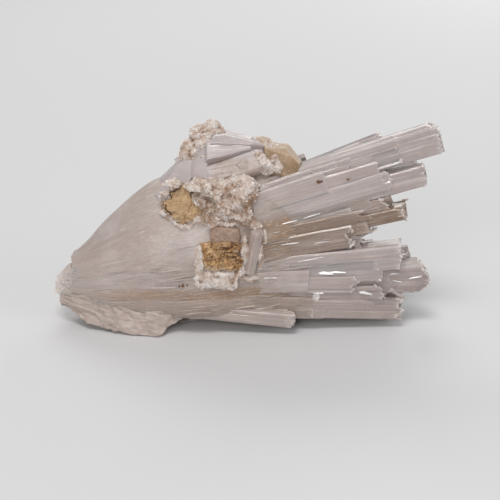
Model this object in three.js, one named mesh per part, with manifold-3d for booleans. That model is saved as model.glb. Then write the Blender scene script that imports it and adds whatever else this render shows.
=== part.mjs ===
// Scolecite crystal cluster: a fan of fused prismatic crystals lying on its side, with a block of
// crossing crystals, a honey calcite, sugary crusts and two stained matrix patches grown onto it.
// Millimetres, +Z up, +X along the crystals towards their tips, +Y towards the back.
// The origin is on the resting plane, under the middle of the cluster.
import * as THREE from "three";
import { ConvexGeometry } from "three/addons/geometries/ConvexGeometry.js";
import { mergeVertices } from "three/addons/utils/BufferGeometryUtils.js";
import Module from "manifold-3d";

const wasm = await Module();
wasm.setup();

// ---------- driving dimensions ----------

const CENTRE = [2, -9.3, 0]; // moves the cluster so that the origin is under its middle
const GAP = 0.3; // clearance between a grown-on piece and the pocket it sits in
const SLAB_GROWTH = 1.5; // keeps at least the gap at a slab's slanting edges
const BEVEL = 0.22; // how far a crystal's long edges are bevelled, as a share of its half width
const ROOT_TAPER = 0.84; // a crystal's width at its root, as a share of its width at the shoulder
const TIP_WIDTH = 0.66; // width of the blunt tip, as a share of the shoulder
const TIP_HEIGHT = 0.2; // height of the low pyramid at the tip, as a share of the width
const REST_CUT_DEPTH = 20; // how deep the block reaches that trims the underside flat at z = 0
const REST_CUT_SIZE = 400;

// The fused, milky body of the fan, as rings of corners from the broken root to where the crystals part.
// Each ring: x, then [y, z] corners.
const BODY_RINGS = [
  [-64.5, [-4, 9], [-3.5, 21], [2, 24.5], [9, 22], [11, 12], [5, 7]],
  [-62, [-6, 8], [-5, 22], [3, 27], [11, 24], [13, 12], [6, 5]],
  [-46, [-12, 6], [-9.5, 30], [3, 44], [14, 40], [18, 20], [14, 0]],
  [-36, [-15, 5], [-13, 27], [-3, 47], [5, 51.5], [15, 49], [22, 27], [20, -1]],
  [-18, [-15.5, 5.5], [-15, 28], [-8, 52], [6, 56], [17, 54], [27, 30], [24, -1]],
  [4, [-15.5, 5.5], [-15, 28], [-8.5, 53], [5, 56], [18, 53], [29, 30], [26, -1]],
  [14, [-12, 10], [-12, 28], [-5, 50], [3, 54], [15, 50], [25, 28], [22, 2]],
];

// The short fibrous fan under the root, which carries the cluster's left end.
const FOOT_FAN = [
  [-68.5, -3, 7.5], [-66.5, -5, 6.2], [-59, -10, 4], [-55.5, -12, 2.5], [-45.5, -15, 1.4],
  [-39, -16.5, 1.2], [-34, -17.2, 0.5], [-30.5, -15, 2], [-25.5, -10, 3.5], [-18, -10, 3.6],
  [-67, -3, 14], [-58, -8.5, 13], [-36, -16, 11], [-20, -14, 8],
  [-66, 7, 9], [-56, 10, 3], [-50, -6, -1], [-40, -11, -1], [-33, -11, -1], [-28, -6, -1],
  [-26, 13, -1], [-44, 13, -1],
];

// The broken stub left of the root.
const ROOT_STUB = [
  [-71, -2, 15.7], [-71, -1, 11.2], [-70.5, 6, 11], [-71, 7, 15.5], [-69.4, 1, 17],
  [-62, -4, 21], [-62, 9, 21], [-62, -4, 9], [-62, 9, 8],
];

// Crystals of the fan: tip [x, y, z], pitch above the horizontal and yaw towards the back in degrees,
// length, width across the fan, thickness through it, and roll about its own length in degrees.
const FAN_CRYSTALS = [
  // front rows, from the top down
  { tip: [65.6, 0, 69.4], pitch: 17.5, yaw: 0.5, length: 84, width: 9.6, thickness: 8.6, roll: 4 },
  { tip: [47.4, 10, 65.4], pitch: 20, yaw: 6, length: 60, width: 7.4, thickness: 7, roll: -6 },
  { tip: [49.6, -9, 58], pitch: 17.5, yaw: -2, length: 62, width: 6, thickness: 5, roll: 5 },
  { tip: [28, -9.5, 57.6], pitch: 19, yaw: -3, length: 42, width: 6.6, thickness: 5, roll: 0 },
  { tip: [61.4, -4, 57], pitch: 16.5, yaw: 2, length: 82, width: 7.2, thickness: 7.2, roll: 8 },
  { tip: [40, -8.5, 50], pitch: 16.5, yaw: -2, length: 62, width: 7, thickness: 6, roll: -4 },
  { tip: [50.2, 4, 44.8], pitch: 15.5, yaw: 4, length: 60, width: 4.6, thickness: 6.4, roll: 0 },
  { tip: [56, 2, 41.2], pitch: 12, yaw: 3, length: 76, width: 6.2, thickness: 6.2, roll: 6 },
  { tip: [38, -5, 35.4], pitch: 10.5, yaw: 0, length: 60, width: 8, thickness: 7, roll: -8 },
  { tip: [54.2, -5, 27.6], pitch: 5.5, yaw: 2, length: 76, width: 9.6, thickness: 9, roll: 5 },
  { tip: [58.6, 5, 24.2], pitch: 5, yaw: 5, length: 74, width: 7, thickness: 7.4, roll: 10 },
  { tip: [64.8, 0, 17.6], pitch: 1.6, yaw: 3, length: 87, width: 10.4, thickness: 9.6, roll: 12 },
  { tip: [39.4, -11, 18.6], pitch: 1, yaw: -3, length: 60, width: 6.2, thickness: 5.6, roll: -3 },
  { tip: [20.8, -14, 21], pitch: 3, yaw: -3, length: 46, width: 7.6, thickness: 5, roll: 4 },
  { tip: [54.6, -6, 7.4], pitch: -1.2, yaw: 2, length: 80, width: 8, thickness: 8, roll: 0 },
  { tip: [16.4, -12.5, 5.8], pitch: -4.5, yaw: -3, length: 52, width: 5.8, thickness: 5.6, roll: 10 },
  // back rows, from the top down
  { tip: [41, 12, 56], pitch: 17.5, yaw: 6, length: 62, width: 8, thickness: 8, roll: 12 },
  { tip: [49, 15, 51.5], pitch: 16.5, yaw: 8, length: 70, width: 7.6, thickness: 8.4, roll: -8 },
  { tip: [33, 26, 46], pitch: 15, yaw: 13, length: 60, width: 8.4, thickness: 7.6, roll: 15 },
  { tip: [49, 23, 35], pitch: 9.5, yaw: 10, length: 74, width: 9, thickness: 8.4, roll: -12 },
  { tip: [52.6, 15, 26], pitch: 5.5, yaw: 7, length: 74, width: 7.6, thickness: 8, roll: 5 },
  { tip: [40, 31, 22], pitch: 4, yaw: 14, length: 66, width: 8.4, thickness: 7.4, roll: 18 },
  { tip: [56, 19, 16], pitch: 1.5, yaw: 9, length: 80, width: 9, thickness: 8.4, roll: -6 },
  { tip: [45, 27, 5], pitch: -2, yaw: 11, length: 72, width: 9, thickness: 8.4, roll: 8 },
  { tip: [52, 9, 4], pitch: -2, yaw: 5, length: 76, width: 8.4, thickness: 9, roll: 0 },
  { tip: [24, 33, 34], pitch: 10, yaw: 16, length: 52, width: 7.4, thickness: 7.4, roll: 12 },
];

// The second, smaller group of crystals that crosses the top of the fan, in the same terms.
const CROSSING_CRYSTALS = [
  { tip: [1.6, 5, 62.6], pitch: -1.5, yaw: 2, length: 20, width: 7.4, thickness: 9, roll: 12 },
  { tip: [4.6, 12, 60.4], pitch: -17, yaw: 0, length: 22, width: 7, thickness: 11, roll: 4 },
  { tip: [3.2, 2, 60.4], pitch: 16, yaw: 6, length: 25, width: 6.6, thickness: 8, roll: -6 },
  { tip: [-19.6, 6, 60.6], pitch: 44, yaw: -15, length: 20, width: 9, thickness: 8, roll: 10 },
  { tip: [-12, 9, 64], pitch: 48, yaw: 30, length: 20, width: 8, thickness: 8, roll: -15 },
  { tip: [10, 13, 58], pitch: -6, yaw: 4, length: 24, width: 8.4, thickness: 9, roll: 8 },
  { tip: [2, 24, 57], pitch: 10, yaw: 38, length: 24, width: 8.6, thickness: 8.6, roll: 20 },
];

// Patches of altered rock, as flat slabs: outline [x, z] about the centre, thickness, and the angle at
// which they lean back with the fan's face.
const TAN_MATRIX = {
  centre: [-23, -9.6, 46.3],
  outline: [
    [-6.2, 0.7], [-3.6, 3.8], [-2.4, 6.4], [0.4, 6.8], [3.9, 3.2], [6.6, 1.3], [6.8, -2.9], [2.2, -6.4],
    [-1.8, -7.2], [-5.8, -4.7], [-6.8, -1.6],
  ],
  thickness: 7,
  lean: 14,
};
const BROWN_MATRIX = {
  centre: [-9.3, -13.8, 29.6],
  outline: [
    [-7.6, 3.4], [-3.2, 4.6], [7.6, 4.2], [7.4, 2], [6.1, 0.6], [7.2, -2.3], [6.2, -5], [-1.5, -5.4],
    [-4.5, -3.3], [-5.4, 0],
  ],
  thickness: 6,
  lean: 8,
};
const STILBITE_PLATE = {
  centre: [-9.2, -13, 37.4],
  outline: [[-4.7, 2.6], [4.7, 2.8], [4.7, -2.2], [-4.7, -2.6]],
  thickness: 4.6,
  lean: 12,
};

// Rounded lumps: centre, half sizes, how many corners, how uneven, and a seed for the unevenness.
const CALCITE = [{ centre: [14, 2, 56.4], half: [5.9, 7.6, 7.4], corners: 26, uneven: 0.1, seed: 3 }];
const MIDDLE_CRUST = [
  { centre: [-10, -8.4, 52.5], half: [8, 4.6, 4.6], corners: 22, uneven: 0.14, seed: 11 },
  { centre: [-1.6, -8.2, 51.6], half: [7.4, 4.6, 5.8], corners: 22, uneven: 0.14, seed: 12 },
  { centre: [-9, -10, 46], half: [7.4, 4.4, 6], corners: 22, uneven: 0.14, seed: 13 },
  { centre: [-2.4, -10, 44.6], half: [6.4, 4.2, 5], corners: 22, uneven: 0.14, seed: 14 },
  { centre: [-13, -10.6, 42], half: [5, 4.2, 4], corners: 20, uneven: 0.14, seed: 15 },
  { centre: [-19, -8, 52.6], half: [5.4, 4, 3], corners: 20, uneven: 0.14, seed: 16 },
];
const LOWER_CRUST = [
  { centre: [-17, -13.6, 25.6], half: [3, 3.2, 7.6], corners: 22, uneven: 0.12, seed: 21 },
  { centre: [-11.6, -14, 20.2], half: [8.4, 3.4, 3.6], corners: 24, uneven: 0.12, seed: 22 },
  { centre: [-3.6, -13.8, 21.4], half: [4.6, 3.2, 4.4], corners: 20, uneven: 0.12, seed: 23 },
  { centre: [1.2, -13, 29], half: [3.4, 3, 7], corners: 20, uneven: 0.12, seed: 24 },
];
const SUMMIT_CRUST = [
  { centre: [-22, 9.4, 61.4], half: [4.4, 5.4, 5.4], corners: 24, uneven: 0.12, seed: 31 },
  { centre: [-18.6, 12, 65.6], half: [4.8, 6, 4.6], corners: 24, uneven: 0.12, seed: 32 },
  { centre: [-14, 13.6, 67.2], half: [4.6, 5.4, 3.8], corners: 20, uneven: 0.12, seed: 33 },
];
const CALCITE_CRUST = [
  { centre: [4.8, 4, 62], half: [4.6, 5, 4.6], corners: 22, uneven: 0.14, seed: 41 },
  { centre: [8, 0, 57.8], half: [4.2, 4.4, 3.8], corners: 22, uneven: 0.14, seed: 42 },
  { centre: [8.6, 6, 62.4], half: [4.4, 5.4, 3.2], corners: 18, uneven: 0.14, seed: 43 },
];

// The small prism that crosses the fan's face beside the brown patch.
const CROSS_PRISM = [
  { tip: [2.8, -13.6, 40.8], pitch: 79, yaw: 10, length: 17, width: 3.4, thickness: 3.8, roll: 20 },
];

// Colours, roughness and metalness.
const FINISHES = {
  scolecite: { color: 0xd6cbc8, roughness: 0.35, metalness: 0 },
  crossing: { color: 0xd9d2d0, roughness: 0.4, metalness: 0 },
  calcite: { color: 0xcdb48a, roughness: 0.3, metalness: 0 },
  crust: { color: 0xe2d5cc, roughness: 0.8, metalness: 0 },
  tanMatrix: { color: 0xb08f5c, roughness: 0.85, metalness: 0 },
  brownMatrix: { color: 0x8f6532, roughness: 0.85, metalness: 0 },
  plate: { color: 0xb59a84, roughness: 0.5, metalness: 0 },
};

// ---------- solids ----------

// A closed three.js geometry as a manifold solid. Triangles that close up at a pole are dropped.
function solidOf(geometry) {
  const bare = geometry.clone();
  bare.deleteAttribute("normal");
  bare.deleteAttribute("uv");
  const merged = mergeVertices(bare, 1e-4);
  const corners = merged.index.array;
  const kept = [];
  for (let i = 0; i < corners.length; i += 3) {
    const [a, b, c] = [corners[i], corners[i + 1], corners[i + 2]];
    if (a !== b && b !== c && c !== a) kept.push(a, b, c);
  }
  return new wasm.Manifold(
    new wasm.Mesh({
      numProp: 3,
      vertProperties: merged.attributes.position.array,
      triVerts: new Uint32Array(kept),
    }),
  );
}

// A manifold solid as a three.js geometry with flat faces.
function geometryOf(solid) {
  const mesh = solid.getMesh();
  const positions = new Float32Array(mesh.numVert * 3);
  for (let i = 0; i < mesh.numVert; i++) {
    const start = i * mesh.numProp;
    positions.set(mesh.vertProperties.subarray(start, start + 3), i * 3);
  }
  const geometry = new THREE.BufferGeometry();
  geometry.setAttribute("position", new THREE.BufferAttribute(positions, 3));
  geometry.setIndex(new THREE.BufferAttribute(mesh.triVerts, 1));
  const flat = geometry.toNonIndexed();
  flat.computeVertexNormals();
  return flat;
}

function join(solids) {
  return solids.reduce((sum, solid) => sum.add(solid));
}

// The largest body of a solid, so that a cut leaves no loose chip behind.
function largestBody(solid) {
  const bodies = solid.decompose();
  return bodies.reduce((best, body) => (body.volume() > best.volume() ? body : best));
}

// The corners of a rectangle with bevelled corners, across a crystal.
function section(halfWidth, halfThickness, along) {
  const narrow = 1 - BEVEL;
  const corners = [];
  for (const [across, through] of [[1, narrow], [narrow, 1]]) {
    for (const side of [-1, 1]) {
      for (const face of [-1, 1]) {
        corners.push(
          new THREE.Vector3(side * across * halfWidth, along, face * through * halfThickness),
        );
      }
    }
  }
  return corners;
}

// A bevelled prism with a low blunt pyramid at its tip. grow widens it all round.
function crystal({ tip, pitch, yaw, length, width, thickness, roll }, grow = 0) {
  const halfWidth = width / 2 + grow;
  const halfThickness = thickness / 2 + grow;
  const shape = new ConvexGeometry([
    ...section(halfWidth * ROOT_TAPER, halfThickness * ROOT_TAPER, -grow),
    ...section(halfWidth, halfThickness, length - width * TIP_HEIGHT),
    ...section(halfWidth * TIP_WIDTH, halfThickness * TIP_WIDTH, length + grow),
  ]);
  shape.rotateY(THREE.MathUtils.degToRad(roll));
  const up = THREE.MathUtils.degToRad(pitch);
  const away = THREE.MathUtils.degToRad(yaw);
  const along = new THREE.Vector3(
    Math.cos(up) * Math.cos(away),
    Math.cos(up) * Math.sin(away),
    Math.sin(up),
  );
  const through = new THREE.Vector3(-Math.sin(away), Math.cos(away), 0);
  const across = new THREE.Vector3().crossVectors(along, through);
  const root = new THREE.Vector3(...tip).addScaledVector(along, -length);
  shape.applyMatrix4(new THREE.Matrix4().makeBasis(across, along, through).setPosition(root));
  return solidOf(shape);
}

// A repeatable number from 0 to 1.
function scatter(seed, index) {
  const wave = Math.sin(seed * 127.1 + index * 311.7) * 43758.5453;
  return wave - Math.floor(wave);
}

// An uneven rounded lump, as the hull of corners spread evenly over an ellipsoid.
function lump({ centre, half, corners, uneven, seed }, grow = 0) {
  const turn = Math.PI * (3 - Math.sqrt(5));
  const points = [];
  for (let i = 0; i < corners; i++) {
    const height = 1 - (2 * (i + 0.5)) / corners;
    const ring = Math.sqrt(1 - height * height);
    const reach = 1 + uneven * (2 * scatter(seed, i) - 1);
    points.push(
      new THREE.Vector3(
        centre[0] + (half[0] + grow) * reach * ring * Math.cos(i * turn),
        centre[1] + (half[1] + grow) * reach * ring * Math.sin(i * turn),
        centre[2] + (half[2] + grow) * reach * height,
      ),
    );
  }
  return solidOf(new ConvexGeometry(points));
}

function lumps(list, grow = 0) {
  return join(list.map((one) => lump(one, grow)));
}

function crystals(list, grow = 0) {
  return join(list.map((one) => crystal(one, grow)));
}

// A flat slab with an outline in the x-z plane, leaning back. grow moves its outline and faces outwards.
function slab({ centre, outline, thickness, lean }, grow = 0) {
  const edge = outline.map(([x, z]) => {
    const reach = 1 + (SLAB_GROWTH * grow) / Math.hypot(x, z);
    return new THREE.Vector2(x * reach, z * reach);
  });
  const depth = thickness + 2 * grow;
  const shape = new THREE.ExtrudeGeometry(new THREE.Shape(edge), { depth, bevelEnabled: false });
  shape.translate(0, 0, -depth / 2);
  shape.rotateX(Math.PI / 2 - THREE.MathUtils.degToRad(lean));
  shape.translate(...centre);
  return solidOf(shape);
}

function hullOf(points) {
  return solidOf(new ConvexGeometry(points.map((point) => new THREE.Vector3(...point))));
}

// The fused body: the hull of each pair of neighbouring rings, joined.
function fusedBody() {
  const slices = [];
  for (let i = 0; i + 1 < BODY_RINGS.length; i++) {
    const points = [];
    for (const [x, ...ring] of [BODY_RINGS[i], BODY_RINGS[i + 1]]) {
      for (const [y, z] of ring) points.push([x, y, z]);
    }
    slices.push(hullOf(points));
  }
  return join(slices);
}

// Everything under the resting plane.
function restCut() {
  const block = new THREE.BoxGeometry(REST_CUT_SIZE, REST_CUT_SIZE, REST_CUT_DEPTH);
  block.translate(0, 0, -REST_CUT_DEPTH / 2);
  return solidOf(block);
}

// ---------- pieces ----------

// From the last grown to the first: each piece is cut back by the pockets of those named before it.
const GROWN_ON = [
  { name: "tan_matrix", finish: "tanMatrix", shape: (grow) => slab(TAN_MATRIX, grow) },
  { name: "brown_matrix", finish: "brownMatrix", shape: (grow) => slab(BROWN_MATRIX, grow) },
  { name: "stilbite_plate", finish: "plate", shape: (grow) => slab(STILBITE_PLATE, grow) },
  { name: "cross_prism", finish: "crossing", shape: (grow) => crystals(CROSS_PRISM, grow) },
  { name: "calcite_crystal", finish: "calcite", shape: (grow) => lumps(CALCITE, grow) },
  { name: "calcite_crust", finish: "crust", shape: (grow) => lumps(CALCITE_CRUST, grow) },
  { name: "summit_crust", finish: "crust", shape: (grow) => lumps(SUMMIT_CRUST, grow) },
  { name: "middle_crust", finish: "crust", shape: (grow) => lumps(MIDDLE_CRUST, grow) },
  { name: "lower_crust", finish: "crust", shape: (grow) => lumps(LOWER_CRUST, grow) },
  { name: "crossing_crystals", finish: "crossing", shape: (grow) => crystals(CROSSING_CRYSTALS, grow) },
];

function scoleciteSpray() {
  const solid = join([
    fusedBody(),
    hullOf(FOOT_FAN),
    hullOf(ROOT_STUB),
    crystals(FAN_CRYSTALS),
  ]);
  return solid.subtract(restCut());
}

function pieceMesh(name, solid, finish) {
  const mesh = new THREE.Mesh(geometryOf(solid), new THREE.MeshStandardMaterial(FINISHES[finish]));
  mesh.name = name;
  return mesh;
}

const cluster = new THREE.Group();
cluster.position.set(...CENTRE);
let pockets = null;
for (const { name, finish, shape } of GROWN_ON) {
  const whole = shape(0);
  const solid = pockets ? largestBody(whole.subtract(pockets)) : whole;
  cluster.add(pieceMesh(name, solid, finish));
  const pocket = shape(GAP);
  pockets = pockets ? pockets.add(pocket) : pocket;
}
cluster.add(pieceMesh("scolecite_spray", largestBody(scoleciteSpray().subtract(pockets)), "scolecite"));

export default cluster;
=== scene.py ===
"""Scolecite crystal cluster: the looks of each grown piece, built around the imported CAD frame.

Lengths in the tables are millimetres in the fan's own place, as in the CAD source; CENTRE moves them to
the part's origin. Every mesh is turned to metres as it is made.
"""

import math

import bmesh
import bpy
import numpy as np
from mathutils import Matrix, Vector


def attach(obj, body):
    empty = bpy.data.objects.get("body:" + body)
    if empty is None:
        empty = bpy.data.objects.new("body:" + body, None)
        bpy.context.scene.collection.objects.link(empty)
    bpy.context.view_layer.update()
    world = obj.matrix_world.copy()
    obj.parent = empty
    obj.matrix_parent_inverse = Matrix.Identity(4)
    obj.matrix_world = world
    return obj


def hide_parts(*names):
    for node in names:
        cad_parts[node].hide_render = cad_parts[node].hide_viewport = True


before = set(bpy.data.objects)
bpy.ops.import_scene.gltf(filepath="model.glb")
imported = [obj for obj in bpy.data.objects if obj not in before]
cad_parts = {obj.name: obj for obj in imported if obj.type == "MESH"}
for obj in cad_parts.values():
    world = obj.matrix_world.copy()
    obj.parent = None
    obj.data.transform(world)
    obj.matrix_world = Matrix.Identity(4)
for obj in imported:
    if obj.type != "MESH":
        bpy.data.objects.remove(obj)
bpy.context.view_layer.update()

MM = 0.001
CENTRE = np.array([2.0, -9.3, 0.0])
APEX = np.array([-110.0, 6.0, 11.0])  # where the fan's fibres would meet, left of the broken root
FAN_RADIUS = 100.0  # distance from the apex at which widths across the fan are stated
BODY_APEX = np.array([-86.0, 5.0, 11.5])  # where the finer fibres of the fused body would meet
BODY_RADIUS = 76.0  # distance from that apex at which widths across the fine fibres are stated


def placed(point):
    """A point of the tables as a place in the part's own frame, in metres."""
    return tuple(float(value) for value in (np.array(point) + CENTRE) * MM)


# ---------- repeatable numbers ----------


def hashed(a, b, seed):
    """A repeatable number from 0 to 1 for each pair of whole numbers."""
    n = (a.astype(np.int64) * 374761393 + b.astype(np.int64) * 668265263 + seed * 1442695041) & 0xFFFFFFFF
    n = ((n ^ (n >> 13)) * 1274126177) & 0xFFFFFFFF
    return ((n ^ (n >> 16)) & 0xFFFF) / 65535.0


def soft_noise(x, y, seed):
    """Smooth noise from 0 to 1 over a plane, one wave a unit."""
    left, low = np.floor(x), np.floor(y)
    across, up = x - left, y - low
    across = across * across * (3 - 2 * across)
    up = up * up * (3 - 2 * up)
    bottom = hashed(left, low, seed) * (1 - across) + hashed(left + 1, low, seed) * across
    top = hashed(left, low + 1, seed) * (1 - across) + hashed(left + 1, low + 1, seed) * across
    return bottom * (1 - up) + top * up


def layered_noise(x, y, seed, layers=3):
    """Soft noise with finer layers on it, from about -1 to 1."""
    total = np.zeros_like(x)
    for layer in range(layers):
        scale = 2.0**layer
        total += (2 * soft_noise(x * scale, y * scale, seed + 17 * layer) - 1) / scale
    return total


def cells(x, y, seed):
    """The uneven cell that each place falls in: two repeatable numbers for it, and how near its edge is."""
    best = np.full(x.shape, 9.0)
    second = np.full(x.shape, 9.0)
    first_value = np.zeros(x.shape)
    other_value = np.zeros(x.shape)
    left, low = np.floor(x), np.floor(y)
    for step_x in (-1, 0, 1):
        for step_y in (-1, 0, 1):
            a, b = left + step_x, low + step_y
            gap = np.hypot(a + hashed(a, b, seed) - x, b + hashed(a, b, seed + 1) - y)
            nearer = gap < best
            second = np.where(nearer, best, np.minimum(second, gap))
            first_value = np.where(nearer, hashed(a, b, seed + 2), first_value)
            other_value = np.where(nearer, hashed(a, b, seed + 3), other_value)
            best = np.where(nearer, gap, best)
    return first_value, other_value, second - best


def eased(value, low, high):
    """0 below low, 1 above high, and smooth between them."""
    t = np.clip((value - low) / (high - low), 0, 1)
    return t * t * (3 - 2 * t)


# ---------- shells: closed skins made of rows of points ----------


class Skin:
    """Collects closed shells, with a UV map in millimetres and the marks that the materials read."""

    # The frost mark also carries a painted highlight along the long edges of the crystals, and the stain
    # mark also carries painted shade in the crevices of the crossing group.
    MARKS = ("frost", "clear", "stain", "sprout", "comb")

    def __init__(self):
        self.points, self.faces, self.corner_uv = [], [], []
        self.marks = {mark: [] for mark in self.MARKS}
        self.count = 0

    def add(self, rows, around, along, **marks):
        """Adds a shell. rows is [row, place in row, xyz] in millimetres; the two ends are closed by a fan.

        around has one more value than a row has points, and along has one for each point.
        """
        row_count, width, _ = rows.shape
        index = np.arange(row_count * width).reshape(row_count, width) + self.count
        turned = np.roll(index, -1, axis=1)
        quads = np.stack([index[:-1], turned[:-1], turned[1:], index[1:]], axis=-1).reshape(-1, 4)
        u_left = np.broadcast_to(around[:-1], (row_count - 1, width))
        u_right = np.broadcast_to(around[1:], (row_count - 1, width))
        v_low, v_high = along[:-1], along[1:]
        v_low_right, v_high_right = np.roll(v_low, -1, axis=1), np.roll(v_high, -1, axis=1)
        uv = np.stack(
            [u_left, v_low, u_right, v_low_right, u_right, v_high_right, u_left, v_high], axis=-1
        )
        self.faces += quads.tolist()
        self.corner_uv.append(uv.reshape(-1, 2))
        ends = self.count + row_count * width + np.arange(2)
        fans = (
            np.stack([turned[0], index[0], np.full(width, ends[0])], axis=-1),
            np.stack([index[-1], turned[-1], np.full(width, ends[1])], axis=-1),
        )
        fan_places = (
            (around[1:], np.roll(along[0], -1), around[:-1], along[0], along[0].mean()),
            (around[:-1], along[-1], around[1:], np.roll(along[-1], -1), along[-1].mean()),
        )
        for fan, (u_a, v_a, u_b, v_b, v_end) in zip(fans, fan_places):
            self.faces += fan.tolist()
            middle = np.full(width, v_end)
            uv = np.stack([u_a, v_a, u_b, v_b, (u_a + u_b) / 2, middle], axis=-1)
            self.corner_uv.append(uv.reshape(-1, 2))
        self.points.append(np.vstack([rows.reshape(-1, 3), rows[0].mean(axis=0), rows[-1].mean(axis=0)]))
        for mark in self.MARKS:
            values = np.broadcast_to(marks.get(mark, 0.0), (row_count, width))
            self.marks[mark].append(
                np.concatenate([values.reshape(-1), [values[0].mean(), values[-1].mean()]])
            )
        self.count += row_count * width + 2

    def piece(self, name, crease=28):
        """The collected shells as one object, in metres. Edges sharper than crease degrees stay crisp."""
        mesh = bpy.data.meshes.new(name)
        points = (np.vstack(self.points) + CENTRE) * MM
        points[:, 2] = np.maximum(points[:, 2], 0.0)
        mesh.from_pydata(points.tolist(), [], self.faces)
        uv = mesh.uv_layers.new(name="growth")
        uv.data.foreach_set("uv", np.vstack(self.corner_uv).reshape(-1).astype(np.float32))
        for mark, values in self.marks.items():
            layer = mesh.attributes.new(mark, "FLOAT", "POINT")
            layer.data.foreach_set("value", np.concatenate(values).astype(np.float32))
        mesh.polygons.foreach_set("use_smooth", np.ones(len(mesh.polygons), dtype=bool))
        mesh.set_sharp_from_angle(angle=math.radians(crease))
        mesh.update()
        piece = bpy.data.objects.new(name, mesh)
        bpy.context.scene.collection.objects.link(piece)
        return piece


def bent_row_turn(ring):
    """The ring in the order that makes faces point outwards: anticlockwise in its own plane."""
    x, y = ring[:, 0], ring[:, 1]
    area = np.sum(x * np.roll(y, -1) - y * np.roll(x, -1))
    return ring if area > 0 else ring[::-1]


def walked(corners, counts):
    """Points along the sides of a closed outline, counts[i] of them on side i."""
    parts = []
    for start, end, count in zip(corners, np.roll(corners, -1, axis=0), counts):
        share = np.arange(count)[:, None] / count
        parts.append(start * (1 - share) + end * share)
    return np.vstack(parts)


def side_counts(corners, spacing):
    """How many points each side of a closed outline needs, at least two."""
    lengths = np.linalg.norm(np.roll(corners, -1, axis=0) - corners, axis=1)
    return np.maximum(2, np.round(lengths / spacing)).astype(int)


# ---------- crystals ----------

BEVEL = 0.13  # how much of a half width the bevelled corners take
ROOT_TAPER = 0.86  # width at the root, as a share of the width at the tip
TIP_SPAN = 9.0  # how far below the tip its uneven height is still felt
TIP_DROPS = (TIP_SPAN, 6.5, 4.5, 3.0, 1.9, 1.1, 0.5, 0.0)  # the rows of points below the tip
TIP_SHRINKS = (0.96, 0.88, 0.78, 0.67, 0.55, 0.43, 0.3, 0.18, 0.07)  # the rows that close the tip
LEDGE_RISES = (-0.9, -0.5, -0.2, 0.1, 0.4, 0.8)  # the rows about the end of a ledge
SHAFT_SPACING = 5.5  # between the rows of the plain shaft


def directions(pitch, yaw):
    """Unit vectors along a crystal, through the fan and across it."""
    up, away = math.radians(pitch), math.radians(yaw)
    along = np.array([math.cos(up) * math.cos(away), math.cos(up) * math.sin(away), math.sin(up)])
    through = np.array([-math.sin(away), math.cos(away), 0.0])
    return along, through, np.cross(along, through)


def bevelled_ring(half_thickness, half_width, spacing):
    """A rectangle with bevelled corners, anticlockwise, with [through, across] points spaced along it."""
    narrow = 1 - BEVEL
    corners = np.array([
        [1, -narrow], [1, narrow], [narrow, 1], [-narrow, 1],
        [-1, narrow], [-1, -narrow], [-narrow, -1], [narrow, -1],
    ]) * [half_thickness, half_width]
    return walked(corners, side_counts(corners, spacing))


def tip_height(place, half, rng, ragged, chamfers):
    """How far each place of a tip stands below its highest point: a tilted flat, chamfers and chips."""
    x, y = place[..., 0] / half[0], place[..., 1] / half[1]
    tilt = rng.uniform(-0.35, 0.35, 2)
    height = tilt[0] * x + tilt[1] * y
    if chamfers is None:
        chamfers = [
            (rng.uniform(0, 360), rng.uniform(0.45, 0.95), rng.uniform(1.5, 5.0)) for _ in range(3)
        ]
    for turn, reach, steep in chamfers:
        turn = math.radians(turn)
        height = np.minimum(height, (reach - x * math.cos(turn) - y * math.sin(turn)) * steep)
    seed = int(rng.integers(1000))
    drop, _, _ = cells(place[..., 0] / 1.9 + 50, place[..., 1] / 1.9, seed)
    chip, _, _ = cells(place[..., 0] / 0.8 + 20, place[..., 1] / 0.8, seed + 9)
    broken_off = 0.4 + 4.5 * ragged * (drop - 1 + ragged) / max(ragged, 0.01)
    height = height - np.where(drop > 1 - ragged, broken_off, 0.2 * drop)
    height -= 0.3 * chip * (0.4 + ragged)
    return np.maximum(height, -5.2)


def ring_gap(places, marks, girth):
    """How far each place round a closed ring is from each mark, the shorter way round."""
    return np.abs((places - marks[:, None] + girth / 2) % girth - girth / 2)


def growth_grooves(rng, share, steps, depth, lines):
    """How far each place round a crystal is set in: fine grooves, and steps along its whole length."""
    count = len(share)
    grooves = 2 * lines * rng.random(count) * (rng.random(count) < 0.08)
    for _ in range(steps):
        start, span = rng.random(), rng.uniform(0.03, 0.2)
        grooves += np.where((share - start) % 1 < span, rng.uniform(0.2, 1.0) * depth, 0)
    return grooves


def growth_stops(rng, ends, length):
    """Where layers of the side stop below the tip: each one's place round it, width, height and depth."""
    stops = []
    for _ in range(ends):
        start, span = rng.random(), rng.uniform(0.06, 0.28)
        stops.append((start, span, length * (1 - rng.uniform(0.03, 0.8) ** 1.5), rng.uniform(0.12, 0.55)))
    return stops


def growth_threads(rng, around, edges, threads, length):
    """Fine threads, mostly near the edges: how far they lift each place, and where each starts and ends."""
    girth = around[-1]
    count = int(threads * girth)
    near_edge = rng.choice(edges, count) + rng.normal(0, 1.1, count)
    anywhere = rng.random(count) * girth
    places = np.where(rng.random(count) < 0.6, near_edge % girth, anywhere)
    lines = np.clip(1 - ring_gap(around[:-1], places, girth) / rng.uniform(0.3, 0.9, (count, 1)), 0, 1)
    lines *= rng.uniform(-0.1, 0.16, (count, 1))
    low = rng.uniform(0, 0.8, count) * length
    high = low + rng.uniform(0.1, 0.7, count) * length
    return lines, low, high


def row_heights(length, stops):
    """How high the rows of points stand: close together near the tip and about the end of each ledge."""
    heights = {0.0} | {length - drop for drop in TIP_DROPS}
    heights |= set(np.linspace(0, length - TIP_SPAN, max(5, int(length / SHAFT_SPACING)))[1:-1].tolist())
    for _, _, stop, _ in stops:
        heights |= {stop + rise for rise in LEDGE_RISES}
    return sorted(height for height in heights if 0 <= height <= length)


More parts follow.
